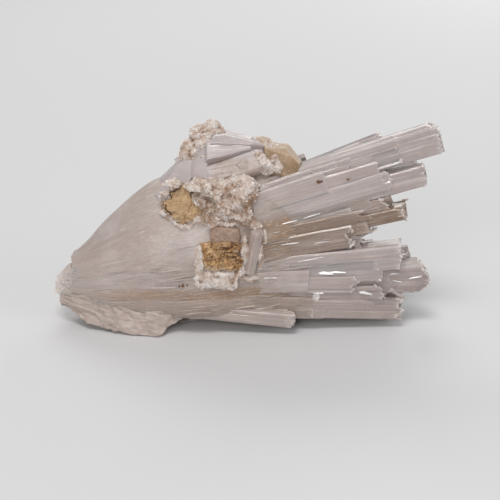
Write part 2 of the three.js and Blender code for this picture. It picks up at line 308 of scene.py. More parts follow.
def add_crystal(
    skin, tip, turns, sizes, seed, spacing=0.4, ragged=0.2, clear=0.5, root_clear=0.08, stain=0.0, steps=4,
    ends=3, step_depth=0.14, lines=0.035, chamfers=None, taper=ROOT_TAPER, frosted=0.7, threads=0.4,
):
    """One prism of the cluster: lined faces, steps between the crystals it is built of, a chipped tip, and
    a painted highlight that whitens its long edges.

    turns is its pitch, yaw and roll, and sizes is its length, width and thickness.
    """
    pitch, yaw, roll = turns
    length, width, thickness = sizes
    rng = np.random.default_rng(seed)
    half = np.array([thickness, width]) / 2
    ring = bevelled_ring(half[0], half[1], spacing)
    count = len(ring)
    edge = np.linalg.norm(np.roll(ring, -1, axis=0) - ring, axis=1)
    around = np.concatenate([[0], np.cumsum(edge)])
    share = around[:-1] / around[-1]
    inward = -ring / np.linalg.norm(ring, axis=1)[:, None]
    grooves = growth_grooves(rng, share, steps, step_depth, lines)
    stops = growth_stops(rng, ends, length)
    through_half, across_half = half
    edges = 0.97 * np.array([
        across_half, across_half + 2 * through_half,
        3 * across_half + 2 * through_half, 3 * across_half + 4 * through_half,
    ])
    thread_lines, thread_low, thread_high = growth_threads(rng, around, edges, threads, length)
    corner_gap = ring_gap(around[:-1], edges, around[-1]).min(axis=0)
    jag = 0.9 * layered_noise(around[:-1] * 0.8, np.full(count, 5.0), seed + 9, 2)
    along_axis, through, across = directions(pitch, yaw)
    spin = math.radians(roll)
    turned_through = through * math.cos(spin) + across * math.sin(spin)
    turned_across = across * math.cos(spin) - through * math.sin(spin)
    root = np.array(tip) - along_axis * length

    rows, frost = [], []
    for height in row_heights(length, stops):
        inset = grooves.copy()
        broken = np.zeros(count)
        for start, span, stop, depth in stops:
            part = (share - start) % 1 < span
            past = height - stop - jag
            inset += np.where(part & (past > 0), depth, 0)
            broken = np.maximum(broken, np.where(part, 0.4 * frosted * np.exp(-np.abs(past) / 0.15), 0))
        begun = eased(height, thread_low - 3, thread_low)
        ended = eased(height, thread_high, thread_high + 1.5)
        inset -= (begun * (1 - ended)) @ thread_lines
        lined = eased(soft_noise(around[:-1] * 0.35, np.full(count, height * 0.03), seed + 3), 0.4, 0.7)
        inset += lined * lines * layered_noise(around[:-1] * 1.1, np.full(count, height * 0.04), seed, 2)
        inset += 0.05 * layered_noise(around[:-1] * 0.2, np.full(count, height * 0.07), seed + 5, 2)
        widen = taper + (1 - taper) * height / length
        flat = ring * widen + inward * inset[:, None]
        rows.append(np.column_stack([flat, np.full(count, height)]))
        # painted edge highlight: whiter along the long edges, broken into lengths, and added to the frost
        edge_highlight = soft_noise(around[:-1] * 0.1, np.full(count, height * 0.25), seed + 7)
        edge_highlight = 0.4 * frosted * np.exp(-((corner_gap / 0.35) ** 2)) * eased(edge_highlight, 0.4, 0.65)
        frost.append(np.maximum(broken, frosted * math.exp((height - length) / 0.25)) + edge_highlight)
    rim = rows[-1][:, :2]
    for shrink in TIP_SHRINKS:
        rows.append(np.column_stack([rim * shrink, np.full(count, length)]))
        frost.append(np.full(count, frosted * (0.12 + 0.5 * shrink**8)))
    rows = np.stack(rows)
    frost = np.stack(frost)
    bumps = tip_height(rows[..., :2], half, rng, ragged, chamfers)
    felt = eased(rows[..., 2], length - TIP_SPAN, length)
    near_end = eased(rows[..., 2], length - 2.5, length - 0.6)
    rows[..., 2] += bumps * felt
    frost = np.clip(frost + 0.2 * eased(-bumps, 0.8, 1.6) * (1 - eased(-bumps, 2.0, 3.0)) * near_end, 0, 1)
    along = rows[..., 2].copy()
    points = root + rows[..., 0:1] * turned_through + rows[..., 1:2] * turned_across
    points = points + rows[..., 2:3] * along_axis
    clearness = root_clear + (clear - root_clear) * eased(along / length, 0.5, 0.97)
    offset = rng.uniform(0, 900)
    skin.add(
        points, around + offset, along + offset, frost=frost, clear=clearness, stain=stain,
        comb=0.6 * (1 - eased(along / length, 0.35, 0.6)),
    )


def add_crystals(skin, table, **shared):
    """The crystals of a table. What sets one apart is the last thing in its row, and may be left out."""
    for tip, turns, sizes, seed, *traits in table.values():
        add_crystal(skin, tip, turns, sizes, seed, **shared, **dict(*traits))


# Each crystal of the fan: its tip; its pitch, its yaw and its roll about its length, in degrees; its
# length, its width across the fan and its thickness through it; its seed; and what sets it apart, such as
# how ragged, clear and stained it is. A chamfer is its direction about the crystal from through to across,
# in degrees, how far out it starts, and how steep it is.
FRONT_CRYSTALS = {
    "high": ((66.2, -2.6, 70.2), (18.4, -2, 1), (84, 10.6, 6.8), 11,
             dict(ragged=0.05, clear=0.62, root_clear=0.15, ends=3, step_depth=0.1,
                  chamfers=[(90, 0.6, 9.0), (200, 0.7, 3.0), (-75, 0.75, 3.0)])),
    "high_back": ((47.8, 10, 64.3), (20, 6, -6), (60, 7.2, 7), 12,
             dict(ragged=0.4, clear=0.9, root_clear=0.5)),
    "high_front": ((52.2, -3.2, 64.6), (18.2, -2, 0), (32, 7, 5), 47,
             dict(ragged=0.2, frosted=0.45, clear=0.35, steps=2, ends=1, threads=0.25,
                  chamfers=[(180, 0.9, 1.5)], taper=0.95)),
    "upper_top": ((35.7, -2.2, 60.0), (18.3, 0.5, 0), (44, 8.6, 7), 48,
             dict(ragged=0.1, frosted=0.15, clear=0.3, steps=3, ends=2, step_depth=0.1, taper=0.95)),
    "upper_front": ((48.9, -4.4, 55.9), (17.8, 2, 2), (62, 7.2, 5.4), 13,
             dict(ragged=0.1, frosted=0.3, clear=0.35, chamfers=[(80, 0.5, 3.5), (-110, 0.8, 3.0)])),
    "upper_short": ((26.2, -5.6, 55.1), (17.8, 2, 1), (42, 8.4, 5), 14,
             dict(ragged=0.05, frosted=0.2, clear=0.25, steps=3, ends=1, chamfers=[(-90, 0.95, 1.0)])),
    "upper": ((61.6, -2.3, 57.3), (16.1, 2, 2), (82, 7.7, 7.4), 15,
             dict(ragged=0.2, clear=0.64, chamfers=[(80, 0.65, 4.0), (-100, 0.55, 3.0)])),
    "upper_web": ((45, -3.1, 58.0), (16.3, 2, 1), (62, 9.4, 7.6), 41,
             dict(ragged=0.2, clear=0.45, frosted=0.3)),
    "upper_low": ((35.8, -4.4, 46.8), (15.3, 2.5, -1), (62, 5.6, 6.4), 16,
             dict(ragged=0.5, frosted=0.3, clear=0.35, stain=0.25)),
    "ledge_web": ((43, -3.4, 47.5), (14.9, 2.5, 0), (60, 6.2, 7.4), 46,
             dict(ragged=0.6, clear=0.5, root_clear=0.3, stain=0.4, frosted=0.3)),
    "tan_ledge": ((50.2, -3.0, 47.4), (15, 2.5, 1), (60, 5.4, 7.2), 17,
             dict(ragged=0.6, clear=0.35, root_clear=0.3, stain=0.7)),
    "tan": ((55.5, -3.3, 43.5), (11.9, 3, 5), (76, 5.7, 6.4), 18,
             dict(ragged=0.3, clear=0.45, root_clear=0.4, stain=1)),
    "tan_short": ((38, -5.1, 35.5), (9.2, 3.5, -3), (60, 8.4, 7.4), 19,
             dict(ragged=0.7, clear=0.5, root_clear=0.4, stain=0.8)),
    "tan_web": ((43, -3.6, 40.9), (10.7, 3, 1), (58, 9.6, 8.6), 42,
             dict(frosted=0.3, ragged=0.7, clear=0.5, root_clear=0.4, stain=0.95)),
    "middle": ((54.2, -3.7, 27.3), (4.3, 4, 2), (76, 9.6, 9), 20,
             dict(ragged=0.3, clear=0.42, root_clear=0.25, ends=5)),
    "middle_back": ((58.2, 5, 22.2), (5, 5, 10), (74, 7, 7.4), 21, dict(ragged=0.5, clear=0.75)),
    "middle_web": ((47, -4.3, 22.4), (1.9, 4, -2), (60, 8.6, 9), 43,
             dict(frosted=0.4, ragged=0.3, clear=0.5, root_clear=0.2)),
    "low_long": ((64.3, -1.6, 18.2), (0.8, 4, 6), (87, 10.2, 9.4), 22,
             dict(ragged=0.15, clear=0.85, root_clear=0.3, stain=0.1, ends=5,
                  chamfers=[(90, 0.15, 3.4), (-90, 0.3, 4.2), (180, 0.8, 2.0)])),
    "low_front": ((39.4, -7.3, 17.4), (-1.1, 4.5, -2), (60, 6.8, 5), 23,
             dict(frosted=0.5, ragged=0.3, clear=0.5)),
    "milky_front": ((20.8, -9.6, 19.5), (0.1, 4.5, 2), (46, 8.4, 4.4), 24,
             dict(ragged=0.05, frosted=0.2, clear=0.15, steps=2, ends=1, chamfers=[(0, 0.9, 1.0)])),
    "low_web": ((49, -4.2, 12.7), (-1.1, 4.5, 3), (62, 8, 8.6), 44,
             dict(ragged=0.5, frosted=0.4, clear=0.5, root_clear=0.2, stain=0.2)),
    "bottom": ((54.6, -4.4, 6.8), (-2.5, 4.5, 0), (80, 8, 8), 25,
             dict(ragged=0.35, clear=0.5, root_clear=0.25, stain=0.25, steps=3, step_depth=0.08)),
    "foot_web": ((24, -7.1, 9.1), (-3.5, 4.5, 2), (52, 8, 8), 45,
             dict(ragged=0.5, frosted=0.3, clear=0.3, root_clear=0.2, stain=0.5)),
    "bottom_short": ((16.4, -12.5, 5.8), (-4.5, -3, 10), (52, 5.8, 5.6), 26,
             dict(ragged=0.3, clear=0.15, stain=0.05)),
    "first_shard": ((41.4, -5.6, 37.6), (60, 0, 0), (8, 0.8, 0.7), 71, dict(taper=2.6, ragged=0.6)),
    "second_shard": ((44.8, -5, 37.2), (24, 0, 0), (8, 0.7, 0.9), 72, dict(taper=2.4, ragged=0.6)),
    "third_shard": ((39.6, -5.8, 33.4), (-10, 0, 0), (7, 2.6, 2.4), 73, dict(clear=0.8)),
    "low_shard": ((56.8, -6, 9.8), (-34, 0, 0), (8, 0.8, 0.8), 74, dict(taper=2.8, ragged=0.6)),
    "end_shard": ((55.2, -5.4, 13.0), (46, 0, 0), (8, 0.7, 0.7), 75, dict(taper=3, ragged=0.6)),
    "high_shard": ((49.2, 9.6, 66.4), (34, 0, 0), (6, 0.8, 0.8), 76, dict(taper=2.6, ragged=0.6)),
}
# Small cleaved faces that catch the light, coloured near white as painted glints: tip, pitch, length and
# width.
CLEAVED_FACES = [
    ((29.4, -10.4, 22.4), 5.0, 4.6, 1.3),
    ((33.6, -10.3, 22.6), 2.9, 5.3, 0.8),
    ((26.0, -11.0, 15.0), 7.5, 2.9, 0.9),
    ((43.6, -9.3, 13.9), -3.9, 4.3, 1.3),
    ((53.1, -7.4, 20.9), 5.7, 3.9, 0.6),
    ((61.0, -6.3, 22.2), -0.9, 4.3, 0.5),
    ((61.5, -6.6, 19.7), 15.4, 4.7, 0.7),
    ((54.4, -7.1, 17.6), -4.1, 2.5, 0.5),
    ((9.2, -13.0, 21.6), 5.6, 5.0, 0.4),
    ((9.8, -9.7, 40.1), 17.2, 4.0, 0.4),
    ((17.1, -9.5, 42.0), 16.9, 6.6, 0.5),
    ((10.5, -10.4, 37.9), 12.4, 5.7, 0.35),
    ((24.5, -8.7, 44.1), 19.4, 5.9, 0.5),
    ((9.1, -11.0, 33.0), 11.5, 5.0, 0.35),
    ((17.2, -11.0, 34.1), 9.9, 6.4, 0.45),
    ((28.1, -9.8, 34.1), 9.3, 6.4, 0.35),
    ((26.0, -11.3, 28.8), 13.3, 9.4, 0.35),
]
BACK_CRYSTALS = {
    "back_high": ((41, 12, 56), (17.5, 6, 12), (62, 8, 8), 31),
    "back_upper": ((49, 15, 51.5), (16.5, 8, -8), (70, 7.6, 8.4), 32),
    "back_outer": ((33, 26, 46), (15, 13, 15), (60, 8.4, 7.6), 33, dict(ragged=0.5)),
    "back_middle": ((49, 23, 35), (9.5, 10, -12), (74, 9, 8.4), 34),
    "back_inner": ((50.6, 14, 20.6), (3.6, 6, 5), (74, 7.6, 8), 35, dict(ragged=0.4)),
    "back_side": ((40, 31, 22), (4, 14, 18), (66, 8.4, 7.4), 36),
    "back_low": ((56, 19, 16), (1.5, 9, -6), (80, 9, 8.4), 37, dict(stain=0.2)),
    "back_corner": ((45, 27, 5), (-2, 11, 8), (72, 9, 8.4), 38, dict(ragged=0.4)),
    "back_bottom": ((52, 9, 4), (-2, 5, 0), (76, 8.4, 9), 39),
    "back_short": ((24, 33, 34), (10, 16, 12), (52, 7.4, 7.4), 40, dict(ragged=0.5)),
}
# Layers of slender crystals that fill the fan between the large ones: where their tips are along the
# fan, how far forward or back they lie, the lowest and highest pitch, how many, and their mean width.
FILL_LAYERS = [
    dict(tips=(-8, 10), depth=(-12.6, -11.4), pitches=(-3.0, -1.6), count=3, width=2.6, seed=201),
    dict(tips=(16, 30), depth=(-9.4, -7.6), pitches=(-2.4, 3), count=5, width=3.0, seed=202),
    dict(tips=(18, 40), depth=(-4, 1), pitches=(-2.5, 17.4), count=12, width=6.4, seed=203),
    dict(tips=(10, 42), depth=(10, 20), pitches=(-3, 16.6), count=16, width=5.0, seed=204),
    dict(tips=(-10, 30), depth=(22, 29), pitches=(-3, 14), count=14, width=4.6, seed=205),
]
CROSSING_CRYSTALS = {
    "ridge": ((1.6, 7, 62.2), (-2.5, 2, 12), (20, 7.4, 9), 51),
    "under": ((4.6, 12, 59.2), (-17, 0, 4), (22, 7, 11), 52),
    "lower": ((4.6, 3.4, 59.6), (16, 6, -6), (25, 6.6, 8), 53),
    "right": ((10, 13, 58), (-6, 4, 8), (24, 8.4, 9), 56),
    "far": ((2, 24, 55.6), (10, 38, 20), (24, 8.6, 8.6), 57),
    "back_flat": ((-4, 20, 60.4), (14, 12, -25), (20, 9, 7), 58),
    "back_low": ((3, 20.5, 55), (4, 6, -30), (26, 8, 6), 59),
    "back_left": ((-17, 18, 58), (34, 14, -30), (10, 8, 7), 60),
}
CROSS_PRISM = ((2.8, -13.2, 40.4), (79, 10, 20), (17, 3.4, 3.8), 61)

# ---------- blocks bounded by flat faces ----------

# A faceted block: its centre, and for each face its outward direction, distance and how frosted it is.
CALCITE_BLOCK = dict(centre=(11.4, 2.0, 59.4), rounding=0.22, etched=0.45, spacing=0.33, faces=[
    ((0.08, -0.97, 0.2), 6.6, 0.0), ((-0.5, -0.8, -0.35), 6.4, 0.05), ((0.2, -0.8, -0.6), 7.6, 0.1),
    ((0.97, -0.2, -0.1), 6.6, 0.1), ((0.72, 0.0, 0.7), 5.0, 0.6), ((0.1, 0.1, 0.99), 5.7, 0.8),
    ((0.25, -0.6, 0.76), 7.1, 0.5), ((-1, -0.1, 0), 6.6, 0.6), ((0, 0.98, 0.2), 7.2, 0.6),
    ((0.4, 0.6, 0.7), 7.4, 0.9), ((0, 0, -1), 7.0, 0.4), ((0.82, 0.56, 0.1), 6.3, 0.3),
])
CROSSING_CORE = dict(centre=(-8.0, 9.0, 57.0), faces=[
    ((-0.27, -0.92, 0.29), 9.6, 0.0), ((-0.68, 0.0, 0.73), 12.6, 0.0), ((-0.1, 0.1, 0.99), 6.6, 0.0),
    ((0.1, -0.93, 0.35), 8.6, 0.0), ((0.9, -0.3, 0.3), 13.0, 0.0), ((0.55, -0.1, 0.83), 10.2, 0.0),
    ((0.0, 0.97, 0.2), 13.0, 0.0), ((0.5, 0.8, 0.35), 13.5, 0.0), ((-0.6, 0.7, 0.35), 12.5, 0.0),
    ((0.0, 0.0, -1.0), 10.0, 0.0), ((0.0, 0.6, 0.8), 10.0, 0.0),
])
# Specks of dark rock caught in the crystals: centre and half size.
DARK_SPECKS = [
    ((23.9, -8.1, 55.3), 0.7), ((24.8, -8.1, 55.6), 0.6), ((34.0, -7.5, 56.1), 0.5),
    ((35.0, -7.4, 56.4), 0.25), ((13.1, -8.4, 56.7), 0.25), ((-23.5, -16.0, 19.8), 0.45),
    ((-22.0, -16.0, 19.9), 0.4), ((-24.8, -15.9, 19.5), 0.3),
]


def add_block(skin, centre, faces, etched=0.3, spacing=0.3, seed=401, rounding=0.3, **marks):
    """A crystal bounded by flat faces, etched into small steps where it is frosted."""
    size = max(distance for _, distance, _ in faces)
    around = int(2 * math.pi * size / spacing)
    turn = np.linspace(0, 2 * math.pi, around, endpoint=False)
    rise = np.linspace(-0.495 * math.pi, 0.495 * math.pi, around // 2)
    turn, rise = np.meshgrid(turn, rise)
    # poles lie on the x axis, so that no face on show has one in its middle
    heading = np.stack([np.sin(rise), np.cos(rise) * np.cos(turn), np.cos(rise) * np.sin(turn)], axis=-1)
    reaches = []
    for normal, distance, _ in faces:
        reaches.append(distance / np.maximum(heading @ (np.array(normal) / np.linalg.norm(normal)), 0.02))
    reaches = np.stack(reaches)
    nearest = reaches.min(axis=0)
    reach = nearest - rounding * np.log(np.exp((nearest - reaches) / rounding).sum(axis=0))
    frost = np.array([frosted for _, _, frosted in faces])[reaches.argmin(axis=0)]
    points = heading * reach[..., None]
    flat_x = 0.9 * points[..., 0] + 0.8 * points[..., 1]
    flat_up = 0.9 * points[..., 2] - 0.7 * points[..., 1]
    etch, _, gap = cells(flat_x / 1.1 + 30, flat_up / 1.1 + 30, seed)
    steps, _, _ = cells(flat_x / 6 + 30, flat_up / 4 + 30, seed + 5)
    out = etched * (etch - 1 + eased(gap, 0, 0.2)) * frost + 0.35 * etched * steps
    out += 0.06 * layered_noise(points[..., 0] * 0.6, points[..., 2] * 0.6, seed + 1)
    points += heading * out[..., None]
    skin.add(points + centre, np.arange(around + 1) * spacing, points[..., 2] + 100, frost=frost, **marks)


# ---------- the fused body ----------

# Rings of the milky body: x, then [y, z] corners up the front, over the top and down the back.
BODY_RINGS = [
    (-63.8, [(-4, 9), (-4.6, 14), (-3.5, 20), (-1, 23), (3, 24), (9, 22), (11, 12), (5, 7)]),
    (-61.6, [(-6, 8), (-6.4, 14), (-5, 21), (-1, 25.2), (3, 26.6), (11, 24), (13, 12), (6, 5)]),
    (-46, [(-11.6, 7), (-12.6, 16), (-10, 28), (-4, 38.6), (3, 43.4), (14, 40), (18, 20), (14, 0)]),
    (-36, [(-13.6, 6), (-15.2, 16), (-13, 29), (-5, 45.3), (5, 51.2), (15, 49), (22, 27), (20, -1)]),
    (-18, [(-14.2, 5.0), (-16, 16), (-14.6, 32), (-8, 51), (6, 56), (17, 54), (27, 30), (24, -1)]),
    (-4, [(-13, 5.0), (-14.4, 16), (-13.4, 32), (-8, 51), (5, 56), (17, 53.5), (28, 30), (26, -1)]),
    (4, [(-11.8, 6), (-12.9, 16), (-12.2, 31), (-8, 52), (1, 58.6), (16, 54), (27, 30), (25, 0)]),
    (9, [(-11.2, 6.4), (-12.1, 16), (-11.5, 30), (-7.4, 51.5), (0, 56.6), (16, 53), (26, 30), (24, 1)]),
    (14, [(-10.4, 7.4), (-11.3, 16), (-10.7, 30), (-6.8, 49), (0, 53.6), (15, 50), (25, 30), (23, 2)]),
    (20, [(-7.6, 9), (-8.8, 16), (-8, 30), (-4, 46), (4, 49), (15, 48), (23, 30), (21, 4)]),
    (28, [(-2, 11), (-3, 18), (-2, 30), (1, 43), (6, 45), (14, 44), (19, 30), (18, 8)]),
]
# How far apart the points are on each side of the body: closer on its front than behind and below.
BODY_SPACING = np.array([0.32, 0.32, 0.32, 0.32, 0.6, 0.6, 0.6, 0.6])
FOOT_RINGS = [
    (-68.4, [(-3.4, 7), (-3, 12.8), (5, 12.5), (6, 7)]),
    (-60, [(-9.2, 2.7), (-5.4, 14), (8, 11), (8, 3)]),
    (-50, [(-13.8, 0.6), (-9.4, 15), (10, 10), (11, 0)]),
    (-40, [(-16.0, 0.0), (-11.4, 14.6), (12, 9), (13, 0)]),
    (-33, [(-17.2, 0.0), (-12.2, 13), (12, 8), (13, 0)]),
    (-28.6, [(-15, 3.0), (-11.8, 10.4), (12, 7), (13, 0)]),
    (-24, [(-11.6, 5), (-11.0, 8), (11, 6), (12, 1)]),
]
ROOT_STUB_RINGS = [
    (-70.2, [(-2, 11.6), (-1.6, 15), (3, 15.4), (6.4, 14.4), (6, 11.4), (2, 10.4)]),
    (-69, [(-2.6, 10.6), (-2.4, 15.6), (2, 16.6), (7.4, 15.4), (7.4, 11), (2, 9)]),
    (-66, [(-3.6, 9), (-3.6, 18.8), (2, 19.8), (8.4, 18), (8.6, 10), (2, 8)]),
    (-61, [(-5.2, 9), (-5.2, 21.4), (2, 22), (9, 20), (9, 9), (2, 8)]),
]


def fibre_place(points, apex=APEX, radius=FAN_RADIUS):
    """Where each point lies among the fan's fibres: up and sideways across them, and out along them."""
    out = points - apex
    up = np.arctan2(out[..., 2], np.hypot(out[..., 0], out[..., 1])) * radius
    sideways = np.arctan2(out[..., 1], out[..., 0]) * radius
    return up, sideways, np.linalg.norm(out, axis=-1)


def outward(rows):
    """Outward normals of rows of points that run anticlockwise about the direction of the rows."""
    around = np.roll(rows, -1, axis=1) - np.roll(rows, 1, axis=1)
    along = np.gradient(rows, axis=0)
    normal = np.cross(around, along)
    return normal / np.maximum(np.linalg.norm(normal, axis=-1, keepdims=True), 1e-9)


def smoothed(values, reach, axis, closed):
    """values averaged over a bell of the given reach in samples along one axis."""
    if reach < 0.5:
        return values
    span = int(3 * reach)
    weights = np.exp(-0.5 * (np.arange(-span, span + 1) / reach) ** 2)
    weights /= weights.sum()
    total = np.zeros_like(values)
    for offset, weight in zip(range(-span, span + 1), weights):
        if closed:
            total += weight * np.roll(values, offset, axis=axis)
        else:
            places = np.clip(np.arange(values.shape[axis]) + offset, 0, values.shape[axis] - 1)
            total += weight * np.take(values, places, axis=axis)
    return total


def lofted(rings, row_count, spacing, rounding, easing):
    """Rows of points through rings of matching corners, with rounded edges and eased changes."""
    corners = [bent_row_turn(np.array(ring, dtype=float)) for _, ring in rings]
    middle = corners[len(corners) // 2]
    counts = side_counts(middle, spacing)
    stations = np.array([x for x, _ in rings])
    outlines = np.stack([walked(ring, counts) for ring in corners])
    places = np.linspace(stations[0], stations[-1], row_count)
    rows = np.zeros((row_count, outlines.shape[1], 3))
    rows[..., 0] = places[:, None]
    for column in (0, 1):
        for place in range(outlines.shape[1]):
            rows[:, place, column + 1] = np.interp(places, stations, outlines[:, place, column])
    rows[..., 1:] = smoothed(rows[..., 1:], easing * row_count / (stations[-1] - stations[0]), 0, False)
    rows[..., 1:] = smoothed(rows[..., 1:], rounding / np.min(spacing), 1, True)
    return rows


def capped(rows, start_count, end_count):
    """The rows with shrinking rows added at both ends, so that each end is a face of its own."""
    start, end = rows[0], rows[-1]
    start_shrinks = np.linspace(0.04, 0.98, start_count)
    end_shrinks = np.linspace(0.98, 0.03, end_count)
    first = [start.mean(axis=0) + (start - start.mean(axis=0)) * shrink for shrink in start_shrinks]
    last = [end.mean(axis=0) + (end - end.mean(axis=0)) * shrink for shrink in end_shrinks]
    return np.concatenate([np.stack(first), rows, np.stack(last)])


# Where the tan streak runs along the low front of the body: x, and its height there.
TAN_STREAK = ((-63, -42, -18, 8), (11.2, 15.3, 16.2, 16.6))
STAINED_BAND = 19.8  # how far up across the fibres the stained band lies at the right


def add_body(skin):
    """The milky body: fibres in low terraces, a smooth cleaved shoulder, and a broken root."""
    start_count, end_count = 8, 14
    rows = capped(lofted(BODY_RINGS, 110, BODY_SPACING, 2.2, 3.0), start_count, end_count)
    normal = outward(rows)
    up, _, out = fibre_place(rows)
    fine_up, fine_side, fine_out = fibre_place(rows, BODY_APEX, BODY_RADIUS)
    wide, wide_phase, _ = cells(fine_up / 4.6, fine_side / 4.6 + 40, 51)
    narrow, narrow_phase, _ = cells(fine_up / 1.5, fine_side / 1.5 + 90, 61)
    wide_step = hashed(np.floor(wide * 9999), np.floor(fine_out / 26 + 3 * wide_phase), 5)
    narrow_step = hashed(np.floor(narrow * 9999), np.floor(fine_out / 17 + 5 * narrow_phase), 6)
    ridges = layered_noise(fine_up * 1.6, fine_side * 1.6 + fine_out * 0.012, 71, 3)
    shoulder = eased(up, 17, 25) * eased(-rows[..., 0], -24, 2)
    front = eased(-rows[..., 1], -2, 4)
    rough = (1 - 0.9 * shoulder) * (1 - 0.55 * front)
    spread = out / FAN_RADIUS
    relief = (0.7 * wide_step + 0.3 * narrow_step + 0.12 * ridges) * spread * rough
    relief += 0.45 * layered_noise(rows[..., 0] * 0.06, up * 0.1, 81, 2)
    rows = rows + normal * relief[..., None]
    start = slice(0, start_count)
    rows[start, :, 0] += 1.0 * layered_noise(rows[start, :, 1] * 0.35, rows[start, :, 2] * 0.35, 95)
    x, z = rows[..., 0], rows[..., 2]
    streak = z - np.interp(x, *TAN_STREAK)
    low_band = 1.0 * eased(-np.abs(streak), -3.2, -0.6) + 0.42 * eased(-streak, -1, 4)
    low_band = low_band * (0.75 * eased(x, -64, -40) + 0.3 * eased(x, -30, -12))
    right_band = eased(-np.abs(up - STAINED_BAND), -7.5, -4) * eased(x, -12, 6)
    combed = (0.1 + 0.9 * eased(-up, -30, -18)) * (0.3 + 0.7 * eased(x, -16, 4)) * (1 - shoulder)
    combed = combed * eased(x, -52, -38) * eased(z, 5, 8) * eased(-normal[..., 1], 0.6, 0.85)
    skin.add(
        rows, np.append(up[start_count], up[start_count][0]), out,
        clear=0.04 + 0.2 * eased(x, -12, 10),
        stain=np.clip(low_band + 1.1 * right_band, 0, 1),
        sprout=np.clip(1 - front - shoulder, 0, 1) * eased(z, 3, 8) * eased(x, -50, -34),
        comb=combed * (1 - eased(x, 14, 20)),
    )


def add_foot(skin):
    """The short fibrous fan under the root."""
    start_count, end_count = 5, 12
    rows = capped(lofted(FOOT_RINGS, 64, 0.42, 0.8, 1.5), start_count, end_count)
    normal = outward(rows)
    out = rows - np.array([-80.0, 2.0, 14.0])
    up = np.arctan2(out[..., 2], out[..., 0]) * 45
    sideways = np.arctan2(out[..., 1], out[..., 0]) * 45
    reach = np.linalg.norm(out, axis=-1)
    value, phase, _ = cells(up / 1.6, sideways / 1.6 + 30, 151)
    step = hashed(np.floor(value * 9999), np.floor(reach / 8 + 4 * phase), 8)
    fine = layered_noise(up * 1.4, sideways * 1.4 + reach * 0.05, 161, 3)
    relief = 0.42 * step + 0.16 * fine - 0.3
    relief = relief + 0.8 * layered_noise(rows[..., 0] * 0.3, rows[..., 2] * 0.35, 171, 3)
    rows = rows + normal * relief[..., None]
    skin.add(rows, np.append(up[start_count], up[start_count][0]), reach, clear=0.03, stain=0.3, frost=0.12)


STUB_SPACING = 0.25  # between the points round the stub


def add_root_stub(skin):
    """The snapped stub of crystal at the root."""
    start_count, end_count = 8, 3
    rows = capped(lofted(ROOT_STUB_RINGS, 34, STUB_SPACING, 0.7, 0.8), start_count, end_count)
    normal = outward(rows)
    chips, other, _ = cells(rows[..., 1] / 2.2 + 30, rows[..., 2] / 2.2, 251)
    rows[:start_count, :, 0] += 2.2 * (chips[:start_count] - 0.5) + 0.5 * (other[:start_count] - 0.5)
    lumps, _, _ = cells(rows[..., 0] / 2.6 + 10, (rows[..., 1] + rows[..., 2]) / 2.6, 261)
    relief = 0.8 * lumps + 0.4 * layered_noise(rows[..., 0] * 0.7, rows[..., 2] * 0.7, 271, 3) - 0.2
    rows = rows + normal * relief[..., None]
    reach = rows[..., 0] + 200
    around = np.arange(rows.shape[1] + 1) * STUB_SPACING
    frost = np.broadcast_to(0.3 + 0.5 * eased(-rows[..., 0], 66, 70), rows.shape[:2])
    skin.add(rows, around, reach, clear=0.08, frost=frost)


# Where the broken ends of crystals stand on the root's face, as [through, up].
ROOT_CHIPS = [
    (-0.6, 22.6), (3.2, 23.0), (7.0, 21.4), (9.4, 18.0), (10.0, 14.0), (8.6, 10.2), (5.2, 8.2),
    (1.0, 7.8), (-2.8, 9.6), (-4.0, 13.6), (-3.4, 17.6), (-1.8, 20.6), (6.0, 18.6), (2.0, 20.4),
]


def add_root_chips(skin):
    """Broken ends of crystals round the snapped stub, sunk in the body behind them."""
    rng = np.random.default_rng(271)
    for number, (through, up) in enumerate(ROOT_CHIPS):
        size = rng.uniform(1.3, 2.4)
        end = (-1, rng.normal(0, 0.3), rng.normal(0, 0.3))
        faces = [(end, size * rng.uniform(0.9, 1.5), 0.6), ((1, 0, 0), 3.0, 0.0)]
        for turn in np.arange(5) * 2 * math.pi / 5 + rng.uniform(0, 1):
            side = (rng.normal(0, 0.12), math.cos(turn), math.sin(turn))
            faces.append((side, size * rng.uniform(0.7, 1.0), 0.2))
        add_block(
            skin, (-60.6, through, up), faces, etched=0.4, spacing=0.42, seed=280 + number, rounding=0.06,
            clear=0.06,
        )


def add_fill(skin, tips, depth, pitches, count, width, seed):
    """A layer of slender crystals that follow the fan between the large ones."""
    rng = np.random.default_rng(seed)
    for place in range(count):
        pitch = np.interp((place + rng.uniform(-0.3, 0.3)) / (count - 1), (0, 1), pitches)
        x, y = rng.uniform(*tips), rng.uniform(*depth)
        reach = x - APEX[0]
        yaw = math.degrees(math.atan2(y - APEX[1], reach))
        z = APEX[2] + reach * math.tan(math.radians(pitch))
        warm = float(eased(-abs(pitch - 11.5), -4, -1.5)) * 0.7
        sizes = (rng.uniform(44, 58), width * rng.uniform(0.7, 1.3), width * rng.uniform(0.9, 1.3))
        turns = (pitch, yaw, rng.uniform(-20, 20))
        add_crystal(
            skin, (x, y, max(z, 3.2)), turns, sizes, seed * 100 + place, spacing=1.2, stain=warm, steps=3,
            ends=2, taper=0.6, ragged=rng.uniform(0.05, 0.5), clear=rng.uniform(0.2, 0.6),
        )


# ---------- flat patches ----------


